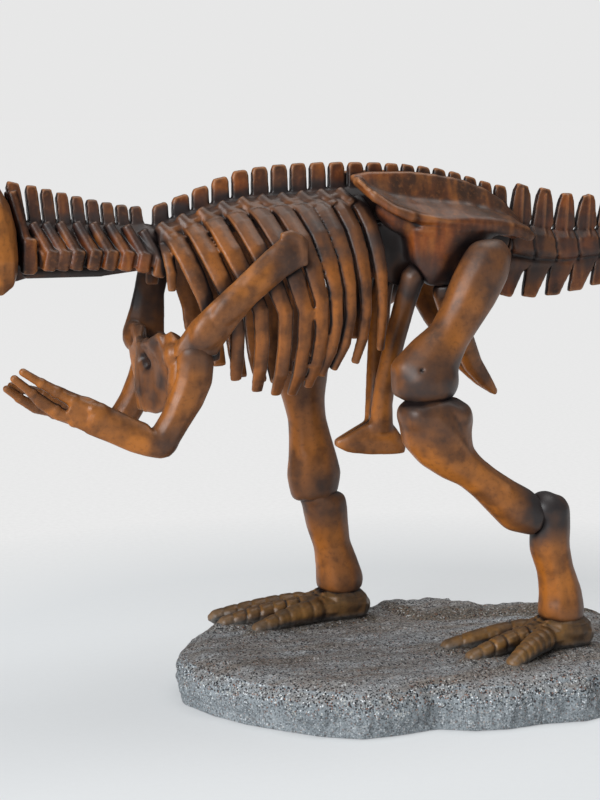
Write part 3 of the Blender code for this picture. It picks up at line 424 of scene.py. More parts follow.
# The first colour is a dry brush with painted highlight on ridges.
# The second colour is a dark wash with painted shade in hollows and between parts.
BRUSHED_AND_HIGHLIGHT_ORANGE, WASH_AND_SHADE_BLACK = (0.40, 0.17, 0.065), (0.010, 0.006, 0.006)
STONE_DUST = (0.155, 0.15, 0.14)
DUST_FROM, DUST_TO = 26.2 * MM, 31.5 * MM


def bone_paint(name, light, mid, dark, streaks=0.0):
    """Satin bronze over resin: browns that pass smoothly into each other, with painted light as
    a brighter orange on faces turned to the front, painted shade on faces turned back, a painted
    grey sheen in patches on the flanks, and darker faces turned up; with a near-black wash and
    painted shade in hollows, between parts and round joints, smoke and painted shade at set spots,
    a dry brush of orange with painted highlight on the ridges, and stone dust at the foot."""
    material, tree, shader = shader_of(name)
    place = make(tree, "ShaderNodeTexCoord").outputs["Object"]
    normal = separate(tree, make(tree, "ShaderNodeNewGeometry").outputs["Normal"])
    broad = noise_node(tree, place, 28, 2, 0.5)
    patch = noise_node(tree, place, 85, 2, 0.5)
    fine = noise_node(tree, place, 420, 3, 0.65)
    base = blend_colour(tree, band(tree, broad, 0.36, 0.62), mid, light)
    # Painted light and shade: brighter orange on faces turned to the front, darker on faces turned
    # back, and a painted grey sheen in patches on the flanks.
    # Painted light: faces turned to the front, toward the window, get a brighter orange.
    lit_golden_orange = (light[0] * 1.22, light[1] * 1.1, light[2] * 0.75)
    base = blend_colour(tree, band(tree, normal["X"], 0.0, -0.85, 0.0, 0.7), base, lit_golden_orange)
    # Painted shade: faces turned back, away from the window, go dark.
    base = blend_colour(tree, band(tree, normal["X"], 0.2, 0.9, 0.0, 0.7), base, dark)
    across = make(tree, "ShaderNodeMath", operation="ABSOLUTE")
    tree.links.new(normal["Y"], across.inputs[0])
    flank = band(tree, across.outputs[0], 0.62, 0.97)
    # Painted sheen: faces turned to either side get a grey-brown sheen in broad patches.
    flank_sheen = multiply(tree, flank, band(tree, broad, 0.62, 0.38, 0.06, 0.38))
    base = blend_colour(tree, flank_sheen, base, SHEEN_GREY_BROWN)
    base = blend_colour(tree, band(tree, patch, 0.47, 0.68, 0.0, 0.7), base, dark)
    if streaks:
        grain = noise_node(tree, mapped(tree, place, Scale=(1.5, 0.7, 0.28)), 90, 2)
        base = blend_colour(tree, band(tree, grain, 0.36, 0.52, streaks, 0.0), base, dark)
        lit = band(tree, grain, 0.52, 0.7, 0.0, streaks)
        base = blend_colour(tree, lit, base, STREAK_ORANGE)
    # Darker on faces turned up.
    base = blend_colour(tree, band(tree, normal["Z"], 0.05, 0.9, 0.0, 0.68), base, DARK_ON_UPWARD_FACES)
    base = blend_colour(tree, band(tree, fine, 0.52, 0.72, 0.0, 0.2), base, SPECK_ORANGE)
    base = blend_colour(tree, band(tree, fine, 0.47, 0.3, 0.0, 0.32), base, SPECK_DARK)
    # Brushed ridges with painted highlight, smoked joints and painted shade at set spots, washed
    # hollows with painted shade between parts, and dust from the stone.
    edge = multiply(tree, layer_value(tree, "edge"), 0.6)
    base = blend_colour(tree, edge, base, BRUSHED_AND_HIGHLIGHT_ORANGE)
    patchy = band(tree, patch, 0.3, 0.7, 0.8, 1.15)
    smoke_and_shade = multiply(tree, layer_value(tree, "smoke_and_shade"), patchy)
    base = blend_colour(tree, smoke_and_shade, base, SMOKE_AND_SHADE_GREY)
    wash_and_shade = multiply(tree, layer_value(tree, "wash_and_shade"), patchy)
    base = blend_colour(tree, wash_and_shade, base, WASH_AND_SHADE_BLACK)
    low = band(tree, separate(tree, place)["Z"], DUST_FROM, DUST_TO, 0.75, 0.0)
    dust = multiply(tree, low, band(tree, fine, 0.4, 0.58, 0.35, 1.0))
    base = blend_colour(tree, dust, base, STONE_DUST)
    tree.links.new(base, shader.inputs["Base Color"])
    tree.links.new(band(tree, patch, 0.3, 0.7, 0.34, 0.46), shader.inputs["Roughness"])
    set_inputs(shader, Metallic=0.0, Specular_IOR_Level=0.34)
    skin = bumped(tree, noise_node(tree, place, 260, 4, 0.6), 0.22, 0.0004)
    tree.links.new(skin, shader.inputs["Normal"])
    return material


bronze = bone_paint(
    "bronze_over_resin",
    light=(0.40, 0.135, 0.020), mid=(0.225, 0.072, 0.012), dark=(0.062, 0.023, 0.009),
)
foot_bronze = bone_paint(
    "gold_bronze_over_resin",
    light=(0.31, 0.15, 0.03), mid=(0.16, 0.078, 0.02), dark=(0.055, 0.033, 0.013),
)
dark_bronze = bone_paint(
    "dark_bronze_over_resin",
    light=(0.205, 0.048, 0.006), mid=(0.078, 0.018, 0.003), dark=(0.018, 0.006, 0.002),
    streaks=0.6,
)
rib_bronze = bone_paint(
    "streaked_bronze_over_resin",
    light=(0.33, 0.105, 0.016), mid=(0.165, 0.05, 0.009), dark=(0.038, 0.015, 0.007),
    streaks=0.42,
)
bones = []


def ball(place, size, turn=(0.0, 0.0, 0.0)):
    """A rounded knob: half sizes along X, Y and Z, turned, in millimetres."""
    bpy.ops.object.select_all(action="DESELECT")
    bpy.ops.mesh.primitive_uv_sphere_add(
        segments=16, ring_count=8, radius=1.0,
        location=[v * MM for v in place], scale=[v * MM for v in size], rotation=turn,
    )
    bpy.ops.object.transform_apply(location=True, rotation=True, scale=True)
    return bpy.context.object


def block(place, size, turn, round_off):
    """A block: half sizes along X, Y and Z, turned, its edges bevelled by a share of them."""
    bpy.ops.object.select_all(action="DESELECT")
    bpy.ops.mesh.primitive_cube_add(
        size=2.0, location=[v * MM for v in place], scale=[v * MM for v in size], rotation=turn
    )
    bpy.ops.object.transform_apply(location=True, rotation=True, scale=True)
    bpy.ops.object.mode_set(mode="EDIT")
    bpy.ops.mesh.select_all(action="SELECT")
    bpy.ops.mesh.bevel(offset=round_off * min(size) * MM, segments=2, affect="EDGES")
    bpy.ops.object.mode_set(mode="OBJECT")
    return bpy.context.object


def rod(start, end, radius_start, radius_end, flat=1.0, sides=12):
    """A tapered rod between two points, its section flattened across by `flat`."""
    start, end = Vector(start), Vector(end)
    bpy.ops.object.select_all(action="DESELECT")
    bpy.ops.mesh.primitive_cone_add(
        vertices=sides, radius1=radius_start * MM, radius2=radius_end * MM,
        depth=(end - start).length * MM,
    )
    obj = bpy.context.object
    turn = Vector((0, 0, 1)).rotation_difference(end - start).to_matrix().to_4x4()
    squeeze = Matrix.Diagonal((1.0, flat, 1.0, 1.0))
    obj.data.transform(Matrix.Translation((start + end) / 2 * MM) @ turn @ squeeze)
    return obj


def crease(piece, line, width, depth, reach=(1.0, 1.0, 1.0)):
    """Press a groove, or with a negative depth raise a ridge, along a line over the skin. A
    reach of 0 along an axis takes in the skin at any distance that way, so both flanks."""
    places, ways = points_of(piece), normals_of(piece)
    line = [np.array(p, float) * MM * reach for p in line]
    flat = places * reach
    away = np.full(len(places), 1.0)
    for a, b in zip(line, line[1:]):
        share = np.clip((flat - a) @ (b - a) / ((b - a) @ (b - a)), 0, 1)
        away = np.minimum(away, np.linalg.norm(flat - (a + share[:, None] * (b - a)), axis=1))
    press = depth * MM * np.exp(-((away / (width * MM)) ** 2))
    set_points(piece, places - ways * press[:, None])


def finish_bone(piece, node, paint):
    """Paint a casting, and let it stand in for its node's plain solid."""
    piece.data.materials.clear()
    piece.data.materials.append(paint)
    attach(piece, "root")
    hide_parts(node)
    bones.append(piece)


def ring(place, across, deep):
    """Points round an upright axis, for a groove or a lip about a bone's end."""
    x, y, z = place
    turns = np.linspace(0, 2 * math.pi, 17)
    return [(x + across * math.cos(a), y + deep * math.sin(a), z) for a in turns]


def toe_joints(root, tip, count):
    """A toe's joints, arched a little between its root and its tip: place and size of each."""
    joints = []
    for number in range(count + 1):
        share = FIRST_JOINT + JOINTS_RUN * number / count
        arch = Vector((0, 0, TOE_ARCH * math.sin(math.pi * share)))
        joints.append((root.lerp(tip, share) + arch, TOE_THICK - TOE_TAPER * share))
    return joints


def fold_over(place, across, girth):
    """The line of a fold over a toe, from low on one flank to low on the other."""
    return [
        place + across * girth * 1.1 * math.cos(a) + Vector((0, 0, girth * math.sin(a)))
        for a in np.linspace(-0.3, math.pi + 0.3, 9)
    ]


def make_foot(node, side, middle, toe_tips, joint_counts):
    """An ankle mound at this X with three tapered toes, whose tips lie at these X and Y."""
    foot = take(node, node + "_cast")
    foot_side = side * FOOT_SIDE
    added, folds = [], []
    for number, (x, y) in enumerate(toe_tips):
        root_side = side * (FOOT_SIDE + TOE_SPREADS[number])
        root = Vector((middle - 10.0, root_side, TOE_ROOT_HEIGHT))
        tip = Vector((x, side * y, TOE_TIP_HEIGHT))
        along = tip - root
        across = Vector((-along.y, along.x, 0.0)).normalized()
        joints = toe_joints(root, tip, joint_counts[number])
        added += [ball(place, (size, size * 1.06, size * 0.98)) for place, size in joints]
        for (start, size), (stop, next_size) in zip(joints, joints[1:]):
            added.append(rod(start, stop, size, next_size))
            line = fold_over((start + stop) / 2, across, (size + next_size) / 2)
            folds.append((line, FOLD_DEPTHS[number] * FOLD_PATTERN[len(folds) % 3]))
        last_joint = joints[-1][0]
        added.append(rod(last_joint, tip + Vector((0, 0, 0.3)), CLAW_THICK, CLAW_THIN))
    added += [ball((middle + behind, foot_side, z), size) for behind, z, size in ANKLE_BALLS]
    fuse(foot, added, FOOT_GRAIN)
    soften(foot, FOOT_GRAIN, 0.8, 0.1)
    for line, depth in folds:
        crease(foot, line, FOLD_WIDTH, depth)
    for spread in TOE_SPREADS:
        ankle = (middle - 5, side * (FOOT_SIDE + spread * 0.6), 43)
        toe_root = (middle - 15, side * (FOOT_SIDE + spread), 38.5)
        crease(foot, [ankle, toe_root], 1.5, -0.9)
    collar = ring((middle, foot_side, 39.4), 14.0, 12.5)
    crease(foot, [(x, y, z - 0.07 * (x - middle)) for x, y, z in collar], 0.9, 0.5)
    finish_bone(foot, node, foot_bronze)


make_foot("foot_left", -1, 65.0, LEFT_TOE_TIPS, joint_counts=(3, 5, 6))
make_foot("foot_right", 1, -24.0, RIGHT_TOE_TIPS, joint_counts=(5, 6, 6))


# ---------------------------------------------------------------------------------------------
# Instep, shin and thigh bones of both legs: stout resin castings with swollen ends, pegged and
# glued one on the next, with a dark wash and painted shade run into the joints.
# ---------------------------------------------------------------------------------------------

SIDES = ((-1, "left"), (1, "right"))   # the sign of Y on each side, and its name
LEG_GRAIN = 0.9
THIGH_ROUNDING, SHIN_ROUNDING, INSTEP_ROUNDING = 3.9, 3.6, 3.1
THIGH_SWELL, SHIN_SWELL, INSTEP_SWELL = 0.6, 0.6, 0.5

# Knobs are a ball's middle and half sizes. Creases are a line, its width and its depth.
THIGH_KNOBS = {"left": [((-9.5, -43, 165), (16.5, 14, 11.5))], "right": []}
THIGH_CREASES = {
    "left": [
        ([(6, -27, 222), (4, -32, 212), (2, -33, 200)], 3.0, 0.8),
        (ring((-8.5, -43, 152.5), 17, 15), 4.2, 2.6),
        ([(-14.2, -48, 170.6), (-17.6, -60, 172.6)], 0.9, 1.5),
    ],
    "right": [],
}
SHIN_KNOBS = {
    "left": [
        ((-7.5, -42, 154.5), (11, 10, 5.5)),
        ((-15, -44, 148.5), (9, 12, 9)),
        ((4.5, -44, 147.5), (9, 12, 8.5)),
    ],
    "right": [((-44, 47.3, 171), (11, 9.5, 6))],
}
SHIN_CREASES = {
    "left": [
        (ring((-6, -43, 158), 18, 14), 3.6, 2.2),
        ([(-8, -56, 148), (3, -56, 136), (16, -53, 125), (30, -53, 112)], 3.2, -1.0),
        ([(-1, -56, 152), (8, -56, 138), (20, -54, 128)], 2.6, 0.9),
    ],
    "right": [([(-48, 36, 158), (-46, 36, 140), (-44, 35, 120)], 3.0, 0.7)],
}
INSTEP_KNOBS = {
    "left": [((54.5, -44, 97.5), (8.5, 10, 9)), ((66, -44, 43), (10.5, 10.5, 5.5))],
    "right": [((-36, 44, 93), (10, 10, 6.5)), ((-23.5, 44, 44), (11, 10.5, 5.5))],
}
INSTEP_MIDDLE = {"left": 58, "right": -30}   # X of it half way down


def cast(node, grain, radius, swell, added=(), creases=()):
    """Work a node's solid up into a smooth casting, with forms added and grooves pressed in."""
    piece = take(node, node + "_cast")
    fuse(piece, list(added), grain)
    soften(piece, grain, radius, swell)
    for line, width, depth in creases:
        crease(piece, line, width, depth)
    return piece


def make_leg_bone(node, radius, swell, knobs, creases):
    added = [ball(place, size) for place, size in knobs]
    finish_bone(cast(node, LEG_GRAIN, radius, swell, added, creases), node, bronze)


def instep_creases(side, x):
    """Two long grooves down the instep's outer flank."""
    return [
        ([(x - 8, side * 52, 92), (x - 5, side * 52, 72), (x - 2, side * 53, 52)], 2.4, 0.5),
        ([(x + 2, side * 54, 92), (x + 4, side * 53, 72), (x + 6, side * 55, 52)], 2.4, 0.5),
    ]


for side, name in SIDES:
    make_leg_bone(
        f"femur_{name}", THIGH_ROUNDING, THIGH_SWELL, THIGH_KNOBS[name], THIGH_CREASES[name],
    )
    make_leg_bone(
        f"tibia_{name}", SHIN_ROUNDING, SHIN_SWELL, SHIN_KNOBS[name], SHIN_CREASES[name],
    )
    make_leg_bone(
        f"metatarsus_{name}", INSTEP_ROUNDING, INSTEP_SWELL, INSTEP_KNOBS[name],
        instep_creases(side, INSTEP_MIDDLE[name]),
    )


# ---------------------------------------------------------------------------------------------
# Hip bones: the ilium is a thin fanned blade with a flared lower rim, a stout boss for the
# thigh, the pubis a rod to a boot-shaped foot, and the ischium a spike that points back.
# ---------------------------------------------------------------------------------------------

ILIUM_GRAIN, PUBIS_GRAIN, ISCHIUM_GRAIN = 0.75, 0.75, 0.7
FAN_AT = (-20, -9, 1, 9, 19, 27, 36)       # X where each groove of the fan starts, at the top
FAN_DEPTHS = (0.35, 0.6)                   # by turns
FRONT_RIM = ((-36, 17, 260.5), (-30, 25, 253), (-22, 29, 247.5), (-12, 31, 243.5))
REAR_RIM = ((24, 30, 237.5), (40, 29, 236), (52, 26.5, 232.6))
RIM_RADIUS = 2.3
RIM_END_RADII = (2.3, 2.3, 3.0, 3.0, 3.0)  # of each rod, front rim first
SHELF_RODS = (
    ((-18, 20, 246), (14, 22, 240.5), 6.0, 6.5),
    ((14, 22, 240.5), (44, 22, 238.5), 6.5, 4.5),
)
BOSS_BALLS = (
    ((15, 26.3, 236.8), (26, 6.2, 4.6)),
    ((13, 24.5, 232.5), (20, 7.2, 6.0)),
    ((8, 22, 228), (15, 8.5, 9.5)),
    ((4, 20.5, 219), (9.5, 8.5, 10.0)),
    ((-14, 19, 242), (15, 8, 7), (0, 0.5, 0)),
)
RIM_GROOVE = ((-31, 20, 257), (-24, 24, 250.5), (-12, 27, 244.5))
RIM_RIDGE = ((-30, 25, 255), (-20, 30, 247), (6, 32, 241), (40, 30.5, 238.5))


def on_side(side, places):
    """Places given for the side with positive Y, put on the side asked for."""
    return [(x, side * y, z) for x, y, z in places]


def rods(side, rows):
    """Rods from rows of start, end, a radius at each, and any flatness and count of sides."""
    return [rod(*on_side(side, (start, end)), *radii) for start, end, *radii in rows]


def balls(side, rows):
    """Balls from rows of middle, half sizes and any turn, put on a side."""
    return [ball(*on_side(side, [place]), *rest) for place, *rest in rows]


def soften_where(piece, grain, radius, shares):
    """Round a piece by a share at each point, for a part of it that is smoother than the rest."""
    group = piece.vertex_groups.new(name="part")
    for i in np.nonzero(shares > 0.01)[0]:
        group.add([int(i)], float(shares[i]), "REPLACE")
    smooth_out(piece, grain, radius, "part")
    piece.vertex_groups.clear()


def make_ilium(side, name):
    front, rear = on_side(side, FRONT_RIM), on_side(side, REAR_RIM)
    spans = list(zip(front, front[1:])) + list(zip(rear, rear[1:]))
    added = [rod(*span, RIM_RADIUS, thick) for span, thick in zip(spans, RIM_END_RADII)]
    added += [ball(place, (2.4, 2.4, 2.4)) for place in front]
    added += [ball(place, (3.2, 3.0, 3.0)) for place in rear]
    added += rods(side, SHELF_RODS) + balls(side, BOSS_BALLS)
    ilium = cast(f"ilium_{name}", ILIUM_GRAIN, 1.2, 0.25, added)
    height = points_of(ilium)[:, 2] / MM
    soften_where(ilium, ILIUM_GRAIN, 3.2, 1 - ramp(height, 232, 239))
    soften_where(ilium, ILIUM_GRAIN, 2.0, ramp(height, 236, 240) * (1 - ramp(height, 250, 256)))
    for number, x in enumerate(FAN_AT):
        line = on_side(side, [(x, 14.5, 261), (x * 0.95 + 2, 21, 245)])
        crease(ilium, line, 3.2, FAN_DEPTHS[number % 2])
    crease(ilium, on_side(side, RIM_GROOVE), 1.6, 0.9)
    crease(ilium, on_side(side, RIM_RIDGE), 1.3, -0.5)
    finish_bone(ilium, f"ilium_{name}", dark_bronze)


for side, name in SIDES:
    make_ilium(side, name)
    finish_bone(cast(f"pubis_{name}", PUBIS_GRAIN, 2.2, 0.3), f"pubis_{name}", bronze)
    finish_bone(cast(f"ischium_{name}", ISCHIUM_GRAIN, 1.8, 0.3), f"ischium_{name}", bronze)


# ---------------------------------------------------------------------------------------------
# Backbone from neck to tail: each run of vertebrae is one casting of round bodies, upright
# blades and side processes, with the dark wash and painted shade lying thick where the blades
# meet the bodies.
# ---------------------------------------------------------------------------------------------

NECK_GRAIN, TRUNK_GRAIN = 0.55, 0.6
NECK_BONES = (                             # X and height of each bone's side processes
    (-186.2, 226), (-180.0, 226), (-173.4, 226), (-165.2, 226),
    (-157.4, 225.5), (-149.6, 225), (-141.2, 224), (-133.2, 221.5),
)
TAIL_GRAINS = (0.6, 0.6, 0.5, 0.5)
TAIL_ROUNDINGS = (1.0, 1.0, 0.6, 0.6)
TAIL_START, TAIL_TIP = 50.8, 340.0
TAIL_LENGTH = TAIL_TIP - TAIL_START
TAIL_BONES = 28
LAST_TAIL_BONE = 0.6                       # its length as a share of the first one's
TAIL_THIN, TAIL_TAPER = 1.8, 7.2           # half its thickness at the tip, and the gain to the root
SPINE_X = (50.0, 66.0, 82.0, 116.0, 150.0, 195.0, 240.0, 290.0, 342.0)
SPINE_HEIGHT = (231.0, 227.0, 225.5, 227.5, 231.0, 235.6, 239.0, 237.0, 230.0)
BLADE_HEIGHT, BLADE_FALL = 30, 0.085       # above the axis at the root, and the loss to the mm
BOTH_FLANKS = (1.0, 0.0, 1.0)


def make_neck():
    added = []
    for x, z in NECK_BONES:
        for side in (1, -1):
            root, tip = (x - 8.2, side * 6.2, z + 16.5), (x - 1.4, side * 10.4, z + 3.0)
            added.append(rod(root, tip, 2.5, 3.2, 0.9))
            added.append(block((x - 0.8, side * 11.0, z - 0.6), (3.1, 3.1, 5.0), (0, 0.22, 0), 0.5))
    for side in (-1, 1):
        added += rods(side, [((-203.5, 3.2, 257), (-198, 9.5, 233), 2.6, 3.4, 0.9)])
    for side in (1, -1):
        added.append(block((-197.0, side * 10.2, 227.5), (3.4, 3.0, 8.5), (0, 0.05, 0), 0.5))
    added.append(block((-179, 0, 219.2), (19.5, 6.2, 2.6), (0, 0, 0), 0.6))
    added.append(block((-151, 0, 220.6), (13.0, 6.2, 2.6), (0, -0.12, 0), 0.6))
    added.append(ball((-138, 0, 232), (8, 9.5, 9)))
    finish_bone(cast("neck", NECK_GRAIN, 0.55, 0.15, added), "neck", dark_bronze)


def tail_joints():
    """Where the tail's bones meet, each bone a little shorter than the one before."""
    lengths = np.linspace(1.0, LAST_TAIL_BONE, TAIL_BONES)
    ends = np.cumsum(lengths) * TAIL_LENGTH / lengths.sum()
    return TAIL_START + np.concatenate([[0.0], ends])


def tail_axis(x):
    """The height of the tail's middle line at an X."""
    return np.interp(x, SPINE_X, SPINE_HEIGHT)


def tail_half(x):
    """Half the thickness of the round bodies at an X, down to a thin tip."""
    return TAIL_THIN + TAIL_TAPER * np.clip((TAIL_TIP - x) / TAIL_LENGTH, 0, 1) ** 1.1


def lean_tail(places, middles):
    """Let the blades taper upwards and lean back, and the chevrons below lean forward."""
    x, z = places[:, 0], places[:, 2]
    nearest = middles[np.argmin(np.abs(x[:, None] - middles[None, :]), axis=1)]
    axis, half = tail_axis(nearest), tail_half(nearest)
    blade = np.maximum(BLADE_HEIGHT - BLADE_FALL * (nearest - 50) - half, 3)
    rise = np.clip((z - axis - half) / blade, 0, 1.2)
    drop = np.clip((axis - half - z) / 14, 0, 1.6)
    places[:, 0] += (x - nearest) * (0.24 * ramp(rise, 0.0, 0.12) - 0.52 * rise) + 1.8 * rise
    places[:, 0] += (x - nearest) * (0.34 - 0.3 * drop) * ramp(drop, 0.0, 0.3) - 3.2 * drop


def crease_tail(piece, joints, middles):
    """Groove the underside and each joint, and raise a ridge up the middle of each bone."""
    along = points_of(piece)[:, 0] / MM
    low, high = along.min() + 1, along.max() - 1
    under = [(x, 0, tail_axis(x) - 0.95 * tail_half(x)) for x in np.arange(low, high, 4.0)]
    crease(piece, under, 1.3, 0.8, BOTH_FLANKS)
    for x in joints[(joints > low) & (joints < high)]:
        axis, half = tail_axis(x), tail_half(x)
        seam = [(x - 0.6, 0, axis + half), (x + 0.4, 0, axis), (x + 1.8, 0, axis - 0.9 * half)]
        crease(piece, seam, 0.8, 0.09 * half + 0.2, BOTH_FLANKS)
    for x in middles[(middles > low) & (middles < high)]:
        axis, half = tail_axis(x), tail_half(x)
        ridge = [(x + 0.4, 0, axis + 0.6 * half), (x + 1.6, 0, axis + half + 17)]
        crease(piece, ridge, 1.0, -0.09 * half, BOTH_FLANKS)


def make_tail():
    """Four castings, the first with a keel under it that runs on from the hips."""
    joints = tail_joints()
    middles = (joints[1:] + joints[:-1]) / 2
    for number, (grain, rounding) in enumerate(zip(TAIL_GRAINS, TAIL_ROUNDINGS), start=1):
        node = f"tail_{number}"
        piece = take(node, node + "_cast")
        keel = []
        if number == 1:
            keel = [rod((52.5, 0, 218.5), (joints[7] - 1.0, 0, 222.5), 5.6, 3.6, 0.6)]
        fuse(piece, keel, grain)
        places = points_of(piece) / MM
        lean_tail(places, middles)
        set_points(piece, places * MM)
        soften(piece, grain, rounding, 0.3)
        crease_tail(piece, joints, middles)
        finish_bone(piece, node, dark_bronze)


make_neck()
for node in ("trunk_spine", "sacrum"):
    finish_bone(cast(node, TRUNK_GRAIN, 0.8, 0.3), node, dark_bronze)
make_tail()


# ---------------------------------------------------------------------------------------------
# Rib cage: each side is one casting of flat curved ribs that hang from a slanted head each,
# which sits against the backbone. The left ribs thin towards their tips.
# ---------------------------------------------------------------------------------------------

RIB_GRAIN = 0.6
RIB_PITCH = 10
FIRST_RIB = {"left": -129.3, "right": -125.1}
RIB_HEAD_RADII = (3.0, 4.2)
RIB_HEAD_HEIGHTS = (239.7, 243.5, 246.6, 249.4, 251.2, 252.2, 252.9, 253.7, 254.5, 255.0)


def rib_slimming(side, z):
    """How far a rib's front and back faces are drawn in at a height, or out on the right."""
    below_heads = 1 - ramp(z, 238, 246)
    if side > 0:
        return -0.95 * ramp(z, 175, 195) * below_heads
    return (0.15 + 0.8 * (1 - ramp(z, 200, 226))) * below_heads


def make_ribs(side, name):
    cage = take(f"ribs_{name}", f"ribs_{name}_cast")
    corners, ways = points_of(cage) / MM, normals_of(cage)
    corners[:, 0] -= ways[:, 0] * rib_slimming(side, corners[:, 2])
    set_points(cage, corners * MM)
    ribs = [(FIRST_RIB[name] + RIB_PITCH * i, z) for i, z in enumerate(RIB_HEAD_HEIGHTS)]
    heads = [
        rod((x - 4.2, side * 7.6, z + 0.8), (x + 2.0, side * 12.3, z - 6.5), *RIB_HEAD_RADII)
        for x, z in ribs
    ]
    fuse(cage, heads, RIB_GRAIN)
    soften(cage, RIB_GRAIN, 0.95, 0.2)
    crease(cage, [(x, side * 14.5, z - 2.6) for x, z in ribs], 0.9, 0.35)
    finish_bone(cage, f"ribs_{name}", rib_bronze)


for side, name in SIDES:
    make_ribs(side, name)


# ---------------------------------------------------------------------------------------------
# Shoulders and arms: a strap-like blade with a flared end, joined to a dished chest plate, and
# a short bent arm with two fingers.
# ---------------------------------------------------------------------------------------------

SHOULDER_GRAIN, ARM_GRAIN = 0.65, 0.5

# The rims of the chest plate, as rods, then its grooves and ridges: a line, width and depth.
CHEST_RODS = (
    ((-141.0, 0.6, 183), (-142.6, 0.6, 158), 1.7, 1.3),
    ((-136.2, 19.5, 189), (-133.4, 25.5, 177), 1.9, 1.5),
    ((-141.2, 3.5, 183), (-139.5, 11, 184.5), 1.5, 1.5),
    ((-139.5, 11, 184.5), (-136.2, 19.5, 189), 1.5, 1.8),
)
CHEST_CREASES = (
    (((-142, 5, 177), (-141.5, 8, 174)), 2.6, 2.6),
    (((-139, 13, 176), (-139, 14, 160)), 5.0, 1.4),
    (((-139, 10, 186), (-136, 19, 188.5), (-133.5, 23, 181), (-131, 25, 172)), 1.1, -0.9),
    (((-142, 0.8, 183), (-143.4, 0.9, 170), (-143, 1.6, 160), (-141, 5, 151)), 1.1, -0.9),
)

# The left blade's flared end has a raised rim round it. The balls fill out both blades' straps
# and the sockets for the arms.
BLADE_RODS = {
    "left": (
        ((-82.0, 38.6, 236.2), (-77.0, 38.7, 237.4), 1.7, 1.8),
        ((-77.0, 38.7, 237.4), (-72.8, 38.8, 235.2), 1.8, 1.9),
        ((-72.8, 38.8, 235.2), (-70.8, 39.0, 229.5), 1.9, 2.0),
        ((-70.8, 39.0, 229.5), (-70.4, 39.2, 223.6), 2.0, 1.7),
    ),
    "right": (),
}
BLADE_BALLS = {
    "left": (
        ((-77.0, 38.7, 237.4), (1.9, 1.9, 1.9)),
        ((-72.8, 38.8, 235.2), (2.0, 2.0, 2.0)),
        ((-70.4, 39.2, 223.6), (1.8, 1.8, 1.8)),
        ((-81.0, 38.8, 226.5), (9.0, 3.1, 7.4), (0, -0.5, 0)),
        ((-92.0, 39.0, 216.5), (18.0, 3.7, 6.4), (0, -0.66, 0)),
        ((-105.0, 38.6, 205.5), (16.0, 3.8, 6.6), (0, -0.76, 0)),
        ((-116.0, 35.8, 193.5), (12.5, 4.8, 8.0), (0, -0.86, 0)),
        ((-131.0, 28.5, 169.0), (4.0, 5.5, 12.5), (0, 0.1, 0)),
        ((-133.0, 26.5, 180.0), (3.8, 5.0, 6.0)),
    ),
    "right": (
        ((-138.5, 27.5, 183.5), (5.0, 8.0, 7.5)),
        ((-108.0, 37.0, 235.0), (9.0, 3.4, 6.6), (0, -0.72, 0)),
        ((-120.5, 36.2, 221.5), (13.0, 3.6, 6.6), (0, -0.95, 0)),
        ((-128.5, 34.5, 204.0), (6.6, 4.0, 14.0), (0, 0.1, 0)),
    ),
}
BLADE_CREASES = {
    "left": ((((-75, 41, 231), (-76, 41, 226)), 3.4, 0.5),),
    "right": ((((-143, 24, 187.5), (-143, 20, 183)), 3.2, 1.8),),
}

# Each finger is a line through its joints, and each of its bones has a radius at either end.
FINGERS = {
    "left": (
        (
            (-172, 31.5, 156.5), (-181, 30.0, 161.0), (-189, 30.0, 165.5),
            (-196, 30.0, 170.0), (-204.3, 30.0, 175.4),
        ),
        (
            (-170, 30.5, 148.2), (-180.4, 29.5, 151.8), (-189.2, 29.5, 157.1),
            (-200.0, 29.5, 165.4), (-208.3, 29.5, 172.4),
        ),
    ),
    "right": (
        (
            (-172, 23.5, 153.0), (-180, 22.0, 154.5), (-189, 20.0, 157.5),
            (-195.8, 18.2, 160.8), (-201.8, 16.9, 162.7),
        ),
        (
            (-172, 23.0, 146.5), (-180, 21.0, 148.0), (-189.6, 18.7, 152.0),
            (-198.2, 16.2, 156.6), (-204.6, 14.2, 161.6),
        ),
    ),
}
FINGER_RADII = ((3.5, 2.7), (2.9, 2.3), (2.5, 2.0), (2.1, 1.8))
FINGER_TIP = (1.9, 1.7, 1.8)
RIGHT_ARM_AHEAD = 5.5
WRIST_HEIGHT = {"left": 152.8, "right": 150.5}


def make_shoulder(side, name):
    added = rods(side, CHEST_RODS + BLADE_RODS[name]) + balls(side, BLADE_BALLS[name])
    creases = [
        (on_side(side, line), width, depth)
        for line, width, depth in CHEST_CREASES + BLADE_CREASES[name]
    ]
    shoulder = cast(f"scapula_{name}", SHOULDER_GRAIN, 1.5, 0.3, added, creases)
    finish_bone(shoulder, f"scapula_{name}", bronze)


def make_finger(side, line):
    """A finger of four bones, each with a knuckle at its start, and a blunt tip."""
    forms = []
    line = [Vector(place) for place in on_side(side, line)]
    for start, end, (thick, thin) in zip(line, line[1:], FINGER_RADII):
        forms.append(rod(start, end, thick * 0.95, thin, 0.92))
        forms.append(ball(start, (thick * 1.18, thick * 1.12, thick * 1.18)))
    forms.append(ball(line[-1], FINGER_TIP))
    return forms


